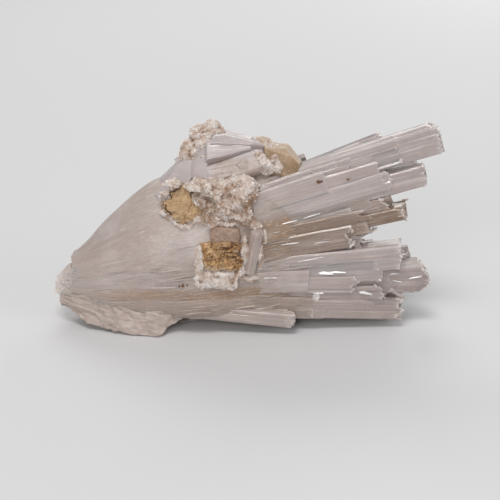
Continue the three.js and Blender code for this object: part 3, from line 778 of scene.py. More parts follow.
class Patch:
    """A slab with a worked front: an outline [across, up] about its centre, and its thickness.

    It leans back, and turns its face to the left, by so many degrees.
    """

    def __init__(self, centre, outline, thickness, lean, turn=0):
        self.centre, self.thickness = np.array(centre, dtype=float), thickness
        self.outline = np.array(outline, dtype=float)
        tilt, swing = math.radians(lean), math.radians(turn)
        self.side = np.array([math.cos(swing), -math.sin(swing), 0.0])
        facing = np.array([-math.sin(swing), -math.cos(swing), 0.0])
        self.front = facing * math.cos(tilt) + np.array([0.0, 0.0, math.sin(tilt)])
        self.up = -facing * math.sin(tilt) + np.array([0.0, 0.0, math.cos(tilt)])

    def rows(self, spacing, worked, ragged=0.0, seed=1):
        """Rows from the middle of the front over the edge to the middle of the back.

        worked(x, up, share) gives how far each front place stands out, where share runs from 0 in the
        middle to 1 at the edge. Returns the rows, their places in the UV map, and what carries a mark of
        the front on to the back.
        """
        outline = self.outline
        turned = outline[:, ::-1]
        area = np.sum(turned[:, 0] * np.roll(turned[:, 1], -1) - turned[:, 1] * np.roll(turned[:, 0], -1))
        if area < 0:
            outline = outline[::-1]
        edge = walked(outline, side_counts(outline, spacing))
        if ragged:
            bearing = np.arctan2(edge[:, 1], edge[:, 0])
            wobble = layered_noise(np.cos(bearing) * 4 + 9, np.sin(bearing) * 4 + 9, seed, 3)
            edge = edge * (1 + ragged * wobble)[:, None]
        reach = np.linalg.norm(edge, axis=1).max()
        shares = np.concatenate([np.arange(0.03, 0.97, spacing / reach), [0.985, 1.0]])
        flat = shares[:, None, None] * edge
        x, up = flat[..., 0], flat[..., 1]
        share = np.broadcast_to(shares[:, None], x.shape)
        out = self.thickness / 2 + worked(x, up, share)
        back_shares = np.array([1.0, 0.98, 0.7, 0.4, 0.1])
        back = back_shares[:, None, None] * edge
        all_x = np.concatenate([x, back[..., 0]])
        all_up = np.concatenate([up, back[..., 1]])
        all_out = np.concatenate([out, np.full(back.shape[:2], -self.thickness / 2)])
        rows = (
            self.centre
            + all_x[..., None] * self.side
            + all_up[..., None] * self.up
            + all_out[..., None] * self.front
        )
        around = np.arange(edge.shape[0] + 1) * spacing
        along = np.concatenate([shares, 2 - back_shares * 0.9])[:, None] * np.full(edge.shape[0], reach)

        def padded(mark):
            return np.concatenate([mark, np.repeat(mark[-1:], len(back_shares), axis=0)])

        return rows, around, along, padded


TAN_MATRIX = Patch(
    (-22.4, -5.8, 46.9),
    [(-1.3, 7.1), (0.6, 5.6), (1.9, 4.5), (2.9, 1.9), (5.2, 1.8), (7.8, 0.3), (8, -2.4),
     (6.2, -4.4), (3.9, -5.8), (1.6, -7.4), (-0.9, -7.7), (-3.5, -6.4), (-5.4, -4.8), (-7.4, -3.3),
     (-7.1, -0.2), (-5.1, 1), (-5.9, 3.1), (-3.9, 4.3), (-2.7, 5.2)],
    7, 24, 12,
)
BROWN_MATRIX = Patch(
    (-9.9, -12.9, 30.1),
    [(-7.5, 4.4), (-4.1, 4.9), (-1.4, 4.7), (1.4, 5.1), (4.9, 4.9), (7.3, 4.3), (7.0, 2.6), (5.9, 1.6),
     (6.2, 0.2), (7.5, -1.4), (7.1, -3.6), (5.2, -5.2), (1.4, -5.0), (-2.1, -5.4), (-5.6, -5.0),
     (-7.1, -2.6), (-7.3, 0.6)],
    6, 8,
)
STILBITE_PLATE = Patch(
    (-8.7, -11.5, 37.6),
    [(-5.2, 2.1), (-3.1, 3.2), (-0.3, 2.6), (2.4, 2.9), (5.2, 1.8), (5.8, -1.1), (4.8, -3.6), (0.3, -3.9),
     (-5.0, -3.7)],
    4.6, 10,
)
# The fronts of the crossing crystals. Each of their flat faces has: how far it stands out, how it slopes
# across and up, how steeply it falls at its edges, and its outline.
CROSSING_FRONTS = [
    (
        Patch(
            (-7.4, 1.3, 61.4),
            [(-13.7, -8.4), (-13.2, -2.0), (-11.3, 2.3), (-8.3, 5.9), (-5.2, 8.0), (-1.7, 8.6), (3.9, 7.2),
             (10.3, 5.8), (13.9, 3.8), (15.7, -0.4), (14.5, -4.3), (8.6, -7.2), (1.7, -9.2), (-7.3, -10.8)],
            8, 28, 4,
        ),
        [
            (0.0, -0.02, -0.5, 2.4, [(-5.2, 8.4), (-5.7, 3.8), (11.8, 3.8), (10.3, 6.2), (-1.7, 9.2)]),
            (0.7, 0.0, -0.12, 2.6, [(-7.8, 5.1), (-7.2, -2.5), (2.9, 0.8), (8.0, 2.2), (6.9, 5.4)]),
            (-0.1, 0.02, 0.06, 2.4,
             [(-7.6, -3.9), (-6.6, -10.4), (0.3, -8.8), (7.2, -7.3), (12.1, -5.8), (14.0, -1.5),
              (11.8, 2.0), (8.3, 1.8), (3.5, -0.1)]),
            (-1.1, 0.16, -0.1, 2.0,
             [(-13.3, -2.0), (-13.0, -9.0), (-7.0, -10.3), (-7.3, -2.9), (-7.6, 3.8), (-11.3, 2.0)]),
            (-0.3, -0.1, 0.05, 2.0, [(2.9, -3.7), (8.6, -7.1), (15.5, -4.2), (15.3, 0.8), (9.0, 2.1)]),
        ],
    ),
    (
        Patch(
            (-26.4, 1.5, 52.6),
            [(-6.6, -6.6), (-4.0, -2.8), (-1.8, 0.8), (0.6, 5.6), (3.5, 8.0), (6.6, 8.3), (8.6, 5.4),
             (8.9, 1.5), (6.1, -3.4), (2.3, -8.3), (-4.1, -9.6)],
            5, 42, 14,
        ),
        [
            (0.5, 0.1, 0.04, 0.8,
             [(-10.5, -5.4), (-4.3, -10.5), (2.3, -8.4), (5.7, -2.3), (7.6, 4.4), (6.4, 7.3), (3.6, 8.3),
              (-1.2, 7.0), (-4.4, 2.4)]),
            (0.8, -0.2, 0.1, 1.2, [(3.0, 8.3), (4.9, 4.8), (7.7, 2.7), (7.4, 6.6)]),
        ],
    ),
]


def tan_matrix_piece(material):
    """Altered rock: ribs that spread from its foot, and a crumbled rim behind a crack."""
    skin = Skin()
    marks = {}

    def worked(x, up, share):
        bearing = np.arctan2(x, up)
        ribs = layered_noise(np.arctan2(x - 1.0, up + 5.0) * 5, np.hypot(x, up) * 0.35, 301, 3)
        turn_x, turn_y = np.cos(bearing) * 3 + 9, np.sin(bearing) * 3 + 9
        line = 0.9 + 0.05 * layered_noise(turn_x, turn_y, 302, 3)
        strength = eased(soft_noise(turn_x * 0.9, turn_y * 0.9, 303), 0.3, 0.5) * (np.abs(bearing) < 2.5)
        crack = np.exp(-(((share - line) / 0.045) ** 2)) * strength
        block, _, gap = cells(x / 1.5 + 10, up / 1.5 + 10, 304)
        rim = eased(share, line, line + 0.06)
        marks["stain"] = np.clip(crack + 0.7 * rim * (1 - eased(gap, 0.0, 0.25)), 0, 1)
        marks["frost"] = 0.6 * rim * (1 - marks["stain"])
        grit = layered_noise(x * 2.2, up * 2.2, 305, 3)
        return 0.55 * ribs + 0.15 * grit + 0.9 * (block - 0.2) * rim - 1.0 * crack - 1.2 * share**8

    rows, around, along, padded = TAN_MATRIX.rows(0.2, worked, ragged=0.04, seed=305)
    skin.add(rows, around, along, **{mark: padded(values) for mark, values in marks.items()})
    return show(skin.piece("tan_matrix_patch", crease=50), "tan_matrix", material)


def brown_matrix_piece(material):
    """Altered rock: grains, lumps and dark veins."""
    skin = Skin()
    marks = {}

    def worked(x, up, share):
        x = x + 0.5 * layered_noise(x * 0.8 + 5, up * 0.8, 316, 3)
        up = up + 0.5 * layered_noise(x * 0.8 + 5, up * 0.8 + 9, 317, 3)
        grain, shade, gap = cells(x / 0.85 + 10, up / 0.85 + 10, 312)
        lump, _, _ = cells(x / 2.6, up / 2.6 + 10, 313)
        vein = eased(1 - np.abs(layered_noise(x * 0.45 + 20, up * 0.45 + 20, 318, 3)), 0.72, 0.95)
        dark = eased(x + 1.6 * up, -1, 8) * (0.35 + 0.9 * vein) * (0.6 + 0.4 * shade)
        dark += 0.3 * (1 - eased(gap, 0.02, 0.2)) + 0.25 * vein
        marks["stain"] = np.clip(dark, 0, 1)
        marks["frost"] = eased(-up - 0.2 * x, 3.4, 4.6) * 0.7 + 0.5 * (grain > 0.9)
        grit = layered_noise(x * 2.5, up * 2.5, 314, 3)
        seams = 0.5 * vein + 0.35 * (1 - eased(gap, 0.0, 0.15))
        return 0.35 * grain + 0.45 * lump + 0.2 * grit - seams - 1.2 * share**8

    rows, around, along, padded = BROWN_MATRIX.rows(0.2, worked, ragged=0.07, seed=315)
    skin.add(rows, around, along, **{mark: padded(values) for mark, values in marks.items()})
    return show(skin.piece("brown_matrix_patch", crease=50), "brown_matrix", material)


def faceted(x, up, faces, floor):
    """How far flat crystal faces stand out over a plane: at each place the highest of them counts."""
    height = np.full(x.shape, floor)
    for level, across, rise, steep, outline in faces:
        corners = np.array(outline)
        middle = corners.mean(axis=0)
        inside = np.full(x.shape, 99.0)
        for start, end in zip(corners, np.roll(corners, -1, axis=0)):
            side = (end - start) / np.linalg.norm(end - start)
            inside = np.minimum(inside, (up - start[1]) * side[0] - (x - start[0]) * side[1])
        face = level + across * (x - middle[0]) + rise * (up - middle[1])
        face = face + steep * np.minimum(inside, 0) - 0.1 * np.exp(-np.abs(inside) / 0.35)
        height = np.maximum(height, face)
    return height


def add_crossing_fronts(skin):
    """The flat faces of the crossing crystals, with fine growth lines, browner low at the front, and
    browner in the sunken crevices between the faces as painted shade with some brown staining.
    """
    for number, (patch, faces) in enumerate(CROSSING_FRONTS):
        seed = 421 + 20 * number
        marks = {}

        def worked(x, up, share):
            warp_x = x + 0.15 * layered_noise(x * 0.3 + 17, up * 0.3 + 10, seed + 10, 3)
            warp_up = up + 0.15 * layered_noise(x * 0.3 + 17, up * 0.3 + 19, seed + 11, 3)
            step, _, _ = cells(x / 6 + 20, up / 1.8 + 20, seed)
            lines = layered_noise((up - 0.2 * x) * 1.1 + 15, x * 0.05 + 15, seed + 2, 2)
            height = faceted(warp_x, warp_up, faces, -1.8)
            lower = 0.5 * eased(-up, -1.0, 3.0) * eased(x, -8, -3) * (number == 0)
            # browner where the front sinks between its raised faces: painted shade in the crevices, with
            # some brown staining
            marks["stain"] = np.clip(0.8 * eased(-height, 1.45, 1.8) * (share < 0.9) + lower, 0, 1)
            return height + 0.12 * step + 0.05 * lines - 3.0 * share**16

        rows, around, along, padded = patch.rows(0.44, worked, ragged=0.01, seed=seed + 3)
        skin.add(rows, around, along, clear=0.12, frost=0.03, stain=padded(marks["stain"]))


def stilbite_piece(material):
    """Thin leaves, one a little over the next."""
    skin = Skin()

    def worked(x, up, share):
        leaf = np.floor(up * 0.9 + 0.3 * soft_noise(x * 0.4, up * 0.2, 322))
        return 0.16 * hashed(leaf, leaf * 0, 323) + 0.15 * layered_noise(x, up, 321, 3) - 1.2 * share**5

    rows, around, along, _ = STILBITE_PLATE.rows(0.2, worked, ragged=0.06, seed=325)
    skin.add(rows, around, along, clear=0.2)
    return show(skin.piece("stilbite_leaves"), "stilbite_plate", material)


# ---------- trees of nodes ----------


class Tree:
    """Nodes added one call at a time. An input is a value, or an output of another node."""

    def node(self, kind, inputs=None, **settings):
        node = self.tree.nodes.new(kind)
        for name, value in settings.items():
            setattr(node, name, value)
        for name, value in (inputs or {}).items():
            if isinstance(value, bpy.types.NodeSocket):
                self.tree.links.new(value, node.inputs[name])
            else:
                node.inputs[name].default_value = value
        return node

    def math(self, operation, first, second=0.0, clamp=False):
        node = self.node("ShaderNodeMath", {0: first, 1: second}, operation=operation, use_clamp=clamp)
        return node.outputs[0]

    def times(self, first, second, clamp=False):
        return self.math("MULTIPLY", first, second, clamp)

    def plus(self, first, second, clamp=False):
        return self.math("ADD", first, second, clamp)

    def most(self, first, second):
        return self.math("MAXIMUM", first, second)

    def scaled(self, vector, amount):
        """A vector or colour multiplied by an amount."""
        node = self.node("ShaderNodeVectorMath", {0: vector, "Scale": amount}, operation="SCALE")
        return node.outputs["Vector"]


class Growth(Tree):
    """A Geometry Nodes tree with named sizes that each piece can set."""

    def __init__(self, name, sizes):
        self.tree = bpy.data.node_groups.new(name, "GeometryNodeTree")
        face = self.tree.interface
        face.new_socket("Geometry", in_out="INPUT", socket_type="NodeSocketGeometry")
        face.new_socket("Geometry", in_out="OUTPUT", socket_type="NodeSocketGeometry")
        self.sockets = {}
        for size, (kind, default) in sizes.items():
            socket = face.new_socket(size, in_out="INPUT", socket_type=kind)
            if default is not None:
                socket.default_value = default
            self.sockets[size] = socket.identifier
        self.start = self.tree.nodes.new("NodeGroupInput")
        self.end = self.tree.nodes.new("NodeGroupOutput")

    def size(self, name):
        return self.start.outputs[name]

    def vector(self, operation, first, second=(0.0, 0.0, 0.0)):
        node = self.node("ShaderNodeVectorMath", {0: first, 1: second}, operation=operation)
        return node.outputs["Value" if operation in ("DOT_PRODUCT", "LENGTH", "DISTANCE") else "Vector"]

    def random(self, low, high, seed):
        inputs = {2: low, 3: high, "Seed": seed}
        return self.node("FunctionNodeRandomValue", inputs, data_type="FLOAT").outputs[1]

    def random_vector(self, low, high, seed):
        inputs = {0: low, 1: high, "Seed": seed}
        return self.node("FunctionNodeRandomValue", inputs, data_type="FLOAT_VECTOR").outputs[0]

    def attribute(self, name):
        return self.node("GeometryNodeInputNamedAttribute", {"Name": name}, data_type="FLOAT").outputs[0]

    def keep(self, geometry, name, value, domain="POINT"):
        """The geometry with a named value stored on it, on its points or on its blocks."""
        inputs = {"Geometry": geometry, "Name": name, "Value": value}
        node = self.node("GeometryNodeStoreNamedAttribute", inputs, data_type="FLOAT", domain=domain)
        return node.outputs[0]

    def block(self, sides, top, bottom=0.5):
        """A short tapered crystal of unit height, centred."""
        inputs = {"Vertices": sides, "Side Segments": 1, "Radius Top": top, "Radius Bottom": bottom}
        cone = self.node("GeometryNodeMeshCone", inputs | {"Depth": 1.0}, fill_type="TRIANGLE_FAN")
        inputs = {"Geometry": cone.outputs["Mesh"], "Translation": (0, 0, -0.5)}
        return self.node("GeometryNodeTransform", inputs).outputs[0]

    def above(self, value, least):
        inputs = {0: value, 1: least}
        node = self.node("FunctionNodeCompare", inputs, data_type="FLOAT", operation="GREATER_THAN")
        return node.outputs[0]

    def moved(self, geometry, offset):
        return self.node("GeometryNodeSetPosition", {"Geometry": geometry, "Offset": offset}).outputs[0]

    def sown(self, mesh, density, chosen=True):
        """Points scattered over a mesh, with the normal and the rotation of the skin at each."""
        inputs = {"Mesh": mesh, "Selection": chosen, "Density": density, "Seed": self.size("Seed")}
        return self.node("GeometryNodeDistributePointsOnFaces", inputs, distribute_method="RANDOM").outputs

    def turned(self, rotation, turn):
        """The rotation with three more turns, in radians, about its own axes."""
        more = self.node("FunctionNodeEulerToRotation", {"Euler": turn}).outputs[0]
        inputs = {"Rotation": rotation, "Rotate By": more}
        return self.node("FunctionNodeRotateRotation", inputs, rotation_space="LOCAL").outputs[0]

    def planted(self, points, kinds, rotation, scale, seed=5):
        """One of the kinds of block, picked at random, on each point."""
        choice = self.node("GeometryNodeGeometryToInstance")
        for kind in kinds:
            self.tree.links.new(kind, choice.inputs[0])
        inputs = {4: 0, 5: len(kinds) - 1, "Seed": seed}
        pick = self.node("FunctionNodeRandomValue", inputs, data_type="INT")
        return self.node("GeometryNodeInstanceOnPoints", {
            "Points": points, "Instance": choice.outputs[0], "Pick Instance": True,
            "Instance Index": pick.outputs[2], "Rotation": rotation, "Scale": scale,
        }).outputs[0]

    def finish(self, geometry, material):
        """Ends the tree: the blocks are made real and given their material."""
        solid = self.node("GeometryNodeRealizeInstances", {"Geometry": geometry}).outputs[0]
        inputs = {"Geometry": solid, "Material": material}
        dressed = self.node("GeometryNodeSetMaterial", inputs).outputs[0]
        self.tree.links.new(dressed, self.end.inputs[0])

    def grow(self, name, base, values):
        """Runs the tree on base and returns the result as a plain piece."""
        holder = bpy.data.objects.new(name + "_seed", base)
        bpy.context.scene.collection.objects.link(holder)
        modifier = holder.modifiers.new("growth", "NODES")
        modifier.node_group = self.tree
        for size, value in values.items():
            modifier[self.sockets[size]] = value
        depsgraph = bpy.context.evaluated_depsgraph_get()
        mesh = bpy.data.meshes.new_from_object(holder.evaluated_get(depsgraph), depsgraph=depsgraph)
        holder.modifiers.clear()
        bpy.data.objects.remove(holder)
        mesh.name = name
        places = np.empty(3 * len(mesh.vertices), dtype=np.float32)
        mesh.vertices.foreach_get("co", places)
        places[2::3] = np.maximum(places[2::3], 0.0)
        mesh.vertices.foreach_set("co", places)
        piece = bpy.data.objects.new(name, mesh)
        bpy.context.scene.collection.objects.link(piece)
        return piece


def crust_tree(material):
    """Sugary crust: lumps melted together, roughened, and covered with small blocky grains."""
    g = Growth("sugary_crust_growth", {
        "Voxel": ("NodeSocketFloat", 0.0005),
        "Roughness": ("NodeSocketFloat", 0.0012),
        "Grain Size": ("NodeSocketFloat", 0.0008),
        "Grains per Area": ("NodeSocketFloat", 3.0e6),
        "Facing": ("NodeSocketVector", (0.0, -0.8, 0.6)),
        "Reach Round": ("NodeSocketFloat", -0.35),
        "Seed": ("NodeSocketInt", 1),
    })
    inputs = {
        "Mesh": g.start.outputs["Geometry"], "Density": 1.0, "Voxel Size": g.size("Voxel"),
        "Interior Band Width": 0.002,
    }
    volume = g.node("GeometryNodeMeshToVolume", inputs, resolution_mode="VOXEL_SIZE").outputs[0]
    inputs = {"Volume": volume, "Threshold": 0.1, "Adaptivity": 0.0}
    skin = g.node("GeometryNodeVolumeToMesh", inputs).outputs[0]
    place = g.node("GeometryNodeInputPosition").outputs[0]
    inputs = {"Vector": place, "Scale": 360.0, "Detail": 4.0, "Roughness": 0.65}
    lumps = g.node("ShaderNodeTexNoise", inputs).outputs["Fac"]
    swell = g.times(g.math("SUBTRACT", lumps, 0.5), g.size("Roughness"))
    swell = g.times(swell, 2.0)
    normal = g.node("GeometryNodeInputNormal").outputs[0]
    rough = g.moved(skin, g.scaled(normal, swell))
    # how hollow each place is, which the crust's finish browns as staining and painted shade
    rough = g.keep(rough, "hollow", g.math("SUBTRACT", 1.0, lumps))
    facing = g.vector("DOT_PRODUCT", normal, g.size("Facing"))
    points = g.sown(rough, g.size("Grains per Area"), g.above(facing, g.size("Reach Round")))
    kinds = [g.block(sides, top) for sides, top in ((4, 0.42), (5, 0.3))]
    for radius in (0.42, 0.5):
        pebble = g.node("GeometryNodeMeshIcoSphere", {"Radius": radius, "Subdivisions": 1})
        kinds.append(pebble.outputs["Mesh"])
    turn = g.random_vector((-0.9, -0.9, -3.14), (0.9, 0.9, 3.14), g.size("Seed"))
    rotation = g.turned(points["Rotation"], turn)
    stretch = g.random_vector((0.6, 0.6, 0.6), (1.3, 1.1, 1.5), 7)
    bulk = g.math("POWER", g.random(0.25, 1.0, 11), 1.6)
    bulk = g.times(g.plus(bulk, 0.35), g.size("Grain Size"))
    grains = g.planted(points["Points"], kinds, rotation, g.scaled(stretch, bulk), seed=3)
    grains = g.keep(grains, "shade", g.random(0.0, 1.0, 21), "INSTANCE")
    base = g.keep(rough, "shade", 0.4)
    joined = g.node("GeometryNodeJoinGeometry")
    g.tree.links.new(base, joined.inputs[0])
    g.tree.links.new(grains, joined.inputs[0])
    g.finish(joined.outputs[0], material)
    return g


NEEDLE_ENDS = ((4, 0.3, 0.5), (6, 0.25, 0.48), (4, 0.34, 0.46))  # sides, radius at the root, at the tip


def needle_tree(material, where="sprout"):
    """Slender crystals lying half sunk in a skin, all pointing away from the apex of the fan.

    They stand where the skin carries the mark named by where.
    """
    g = Growth("spray_needle_growth", {
        "Apex": ("NodeSocketVector", (0.0, 0.0, 0.0)),
        "Needles per Area": ("NodeSocketFloat", 2.0e5),
        "Least Length": ("NodeSocketFloat", 0.008),
        "Greatest Length": ("NodeSocketFloat", 0.03),
        "Least Width": ("NodeSocketFloat", 0.0008),
        "Greatest Width": ("NodeSocketFloat", 0.003),
        "Sunk": ("NodeSocketFloat", 0.0004),
        "Spread": ("NodeSocketFloat", 0.006),
        "Flush": ("NodeSocketFloat", 0.0),
        "Frosting": ("NodeSocketFloat", 0.25),
        "Clearness": ("NodeSocketFloat", 0.5),
        "Seed": ("NodeSocketInt", 1),
    })
    density = g.times(g.attribute(where), g.size("Needles per Area"))
    points = g.sown(g.start.outputs["Geometry"], density)
    facing = points["Normal"]
    inward = g.scaled(facing, g.times(g.size("Sunk"), -1.0))
    sunk = g.moved(points["Points"], inward)
    place = g.node("GeometryNodeInputPosition").outputs[0]
    away = g.vector("SUBTRACT", place, g.size("Apex"))
    lifted = g.scaled(facing, g.times(g.vector("DOT_PRODUCT", away, facing), g.size("Flush")))
    jitter = g.scaled(g.random_vector((-1.0, -1.0, -1.0), (1.0, 1.0, 1.0), 31), g.size("Spread"))
    heading = g.vector("ADD", g.vector("SUBTRACT", away, lifted), jitter)
    rotation = g.node("FunctionNodeAlignRotationToVector", {"Vector": heading}, axis="Z").outputs[0]
    turn = g.node("ShaderNodeCombineXYZ", {"X": 0.0, "Y": 0.0, "Z": g.random(0.0, 3.14, 33)}).outputs[0]
    rotation = g.turned(rotation, turn)
    length = g.random(g.size("Least Length"), g.size("Greatest Length"), 35)
    share = g.math("POWER", g.random(0.0, 1.0, 37), 2.0)
    span = g.math("SUBTRACT", g.size("Greatest Width"), g.size("Least Width"))
    width = g.plus(g.size("Least Width"), g.times(share, span))
    flat = g.times(width, g.random(0.55, 1.0, 39))
    scale = g.node("ShaderNodeCombineXYZ", {"X": width, "Y": flat, "Z": length}).outputs[0]
    kinds = [g.block(sides, tip, root) for sides, root, tip in NEEDLE_ENDS]
    needles = g.planted(sunk, kinds, rotation, scale)
    needles = g.keep(needles, "clear", g.random(0.02, g.size("Clearness"), 41), "INSTANCE")
    frosting = g.math("POWER", g.random(0.0, 1.0, 43), 2.0)
    needles = g.keep(needles, "frost", g.times(frosting, g.size("Frosting")), "INSTANCE")
    needles = g.keep(needles, "stain", g.times(g.attribute("stain"), g.random(0.3, 1.1, 45)), "INSTANCE")
    g.finish(needles, material)
    return g


def crumb_tree(material):
    """Crushed crumbs along the broken rims of the tips, where the crystal's own skin is frosted."""
    g = Growth("tip_crumb_growth", {
        "Crumbs per Area": ("NodeSocketFloat", 3.6e6),
        "Crumb Size": ("NodeSocketFloat", 0.0012),
        "Least Frost": ("NodeSocketFloat", 0.3),
        "Seed": ("NodeSocketInt", 1),
    })
    frosted = g.above(g.attribute("frost"), g.size("Least Frost"))
    place = g.node("GeometryNodeInputPosition").outputs[0]
    patch = g.node("ShaderNodeTexNoise", {"Vector": place, "Scale": 260.0}).outputs["Fac"]
    patchy = g.most(g.times(g.math("SUBTRACT", patch, 0.42), 5.0), 0.0)
    density = g.times(g.math("MINIMUM", patchy, 1.0), g.size("Crumbs per Area"))
    points = g.sown(g.start.outputs["Geometry"], density, frosted)
    kinds = [g.block(sides, top) for sides, top in ((4, 0.4), (3, 0.2), (5, 0.3))]
    turn = g.random_vector((-1.2, -1.2, -3.14), (1.2, 1.2, 3.14), 51)
    bulk = g.times(g.plus(g.math("POWER", g.random(0.0, 1.0, 53), 2.0), 0.35), g.size("Crumb Size"))
    stretch = g.random_vector((0.5, 0.5, 0.6), (1.1, 1.1, 1.6), 55)
    crumbs = g.planted(points["Points"], kinds, g.turned(points["Rotation"], turn), g.scaled(stretch, bulk))
    crumbs = g.keep(crumbs, "frost", g.random(0.35, 1.0, 57), "INSTANCE")
    crumbs = g.keep(crumbs, "clear", g.random(0.2, 0.8, 59), "INSTANCE")
    g.finish(crumbs, material)
    return g


def lump_mesh(lumps, seed):
    """Uneven round lumps, given as centre and half sizes, as one loose mesh in metres."""
    rng = np.random.default_rng(seed)
    shape = bmesh.new()
    for centre, half in lumps:
        made = bmesh.ops.create_icosphere(shape, subdivisions=3, radius=1.0)["verts"]
        phase = rng.uniform(0, 50)
        for vert in made:
            x, y, z = vert.co
            swell = 1 + 0.14 * math.sin(3 * x + phase) * math.sin(4 * y + 2 * phase)
            swell += 0.1 * math.sin(5 * z + phase)
            vert.co = Vector((np.array(centre) + CENTRE + np.array(half) * [x, y, z] * swell) * MM)
    mesh = bpy.data.meshes.new("lumps")
    shape.to_mesh(mesh)
    shape.free()
    return mesh


BODY_FRONT = ((16, 31, 51), (-14.4, -13.2, -8.2))  # heights on the body, and how far forward its front is


def strewn(count, low, high, half, seed):
    """Small loose lumps on the front of the body, between two corners given as (x, z)."""
    rng = np.random.default_rng(seed)
    lumps = []
    for _ in range(count):
        x, z = rng.uniform(low, high)
        y = np.interp(z, *BODY_FRONT) + 0.1 * abs(x + 12)
        size = half * rng.uniform(0.5, 1.3)
        lumps.append(((x, y, z), (size * rng.uniform(0.9, 1.5), size, size)))
    return lumps


def rimmed(patch, first, last, out, half, seed):
    """Small lumps along part of a patch's outline, standing so far out over its middle plane."""
    rng = np.random.default_rng(seed)
    lumps = []
    for start, end in zip(patch.outline[first:last], patch.outline[first + 1:last + 1]):
        for share in np.arange(0, 1, 1.1 * half / np.linalg.norm(end - start)):
            across, up = (start + (end - start) * share) * rng.uniform(1.06, 1.2)
            place = patch.centre + across * patch.side + up * patch.up
            place = place + rng.uniform(0.7, 1.1) * out * patch.front
            lumps.append((tuple(place), tuple(half * rng.uniform(0.6, 1.3, 3))))
    return lumps


# The lumps that each crust is built of, as centre and half sizes.
MIDDLE_LUMPS = [
    ((-9, -8.4, 52.8), (8, 4.4, 4.2)), ((-2.8, -8.0, 52.4), (6.0, 4.4, 5.0)),
    ((-9, -9.6, 46.6), (6.6, 4.2, 6)), ((-3.4, -9.4, 45.6), (4.8, 3.8, 5.0)),
    ((-13.6, -10.4, 44), (3.6, 3.6, 5)),
    ((-17.4, -7.4, 53.8), (5, 3.4, 2.4)), ((-26.5, -7.2, 54.4), (3, 2.0, 1.3)),
    ((-16.4, -9.2, 48.6), (2.4, 3.0, 3.6)), ((-3.4, -11.8, 50.4), (3.4, 1.8, 3.2)),
    ((-17, -9.8, 42.6), (3.0, 2.8, 1.8)), ((-7.2, -11.6, 41.4), (4.6, 1.8, 1.3)),
    ((-0.4, -10.8, 41.8), (3.0, 2.4, 2.2)), ((1.8, -12.2, 41.2), (2.2, 1.8, 1.5)),
    ((-14.8, -12.6, 54.6), (1.1, 1.6, 1.8)), ((-17.2, -12.2, 54.2), (0.9, 1.4, 1.5)),
]
for step in range(6):
    MIDDLE_LUMPS.append(((-14.2 + 1.35 * step, -13.0 - 0.2 * step, 54.6 - 1.75 * step), (1.1, 1.5, 1.4)))
MIDDLE_LUMPS += [((-18.6, -8.6, 50.0), (1.6, 2.0, 2.4))] + rimmed(TAN_MATRIX, 8, 18, 2.4, 0.7, 19)
MIDDLE_LUMPS += strewn(22, (1.4, 41), (5.6, 54), 0.9, 11) + strewn(9, (-31, 50), (-26, 54), 0.7, 12)
MIDDLE_LUMPS += strewn(6, (-31.5, 44), (-30, 51), 0.6, 13) + strewn(10, (-22, 39.5), (-12, 41.5), 0.7, 14)
LOWER_LUMPS = [((x, -15.2, 21.4), (2.4, 1.6, 3.7)) for x in (-17.2, -14.6, -11.8, -9, -6.4)]
LOWER_LUMPS += [
    ((-17.8, -15.0, 26.4), (1.8, 1.6, 3.6)), ((-17.8, -14.6, 31), (1.5, 1.6, 3.2)),
    ((-3.2, -14.0, 25), (1.5, 1.6, 4)), ((-1.9, -13.2, 31.4), (1.6, 1.8, 6.0)),
    ((3.5, -11.8, 29.5), (1.2, 2.6, 5.5)), ((4.8, -11.0, 36), (1.1, 2.6, 2.8)),
    ((0.4, -13, 21.6), (3.2, 2.4, 1.5)),
]
LOWER_LUMPS += strewn(12, (3.4, 25), (6.2, 39), 0.6, 15) + strewn(8, (-20, 18), (-4, 19), 0.5, 16)
SUMMIT_LUMPS = [
    ((-20.6, 9, 60.6), (4.2, 5.2, 5)), ((-17.2, 12, 65.6), (4.6, 6, 4.8)),
    ((-14.2, 13.4, 67.6), (4.2, 5.2, 3.8)), ((-17.4, 4.6, 63.4), (3, 3.2, 3.4)),
    ((-20.4, 4.6, 61.4), (2.8, 3, 3.4)), ((-14.6, 4.4, 66.0), (2, 3, 2.8)),
    ((-15.4, 0.4, 61.6), (2.2, 2, 1.8)), ((-22.6, 7, 58.4), (2.2, 3, 2.6)),
]
CALCITE_LUMPS = [
    ((4.6, 3.4, 63.6), (4.2, 5, 4.0)), ((6.4, -2.6, 60.2), (3.8, 3, 3.4)), ((9.0, 2, 62.8), (3.6, 5, 2.2)),
    ((3.4, -2.2, 62.2), (2.4, 2.6, 2.8)), ((9.8, -4.0, 59.6), (2.2, 1.6, 2.2)),
    ((12.0, 1.8, 63.2), (2.4, 2.8, 1.1)), ((7.2, 0.2, 64.2), (2.4, 3.0, 1.6)),
    ((8.2, -3.6, 62.6), (2.4, 2.0, 1.6)),
]
# Each crust: its lumps, grain size and roughness in metres, grains on a square metre, and how far round
# from its front the grains reach, from 1 (all of it) down to -1.
CRUSTS = {
    "middle_crust": (MIDDLE_LUMPS, 0.0007, 0.0022, 4.3e6, 0.1),
    "lower_crust": (LOWER_LUMPS, 0.00045, 0.0008, 8.5e6, 0.1),
    "summit_crust": (SUMMIT_LUMPS, 0.0007, 0.0016, 4.2e6, 1.0),
    "calcite_crust": (CALCITE_LUMPS, 0.0007, 0.0018, 4.2e6, 1.0),
}


def crust_pieces(material):
    """The four sugary crusts, each grown on its own lumps."""
    tree = crust_tree(material)
    for seed, (name, (lumps, grain, roughness, density, around)) in enumerate(CRUSTS.items(), 1):
        piece = tree.grow(name + "_grains", lump_mesh(lumps, seed), {
            "Grain Size": grain, "Grains per Area": density, "Reach Round": -around, "Roughness": roughness,
            "Seed": seed,
        })
        show(piece, name, material)


# ---------- materials ----------


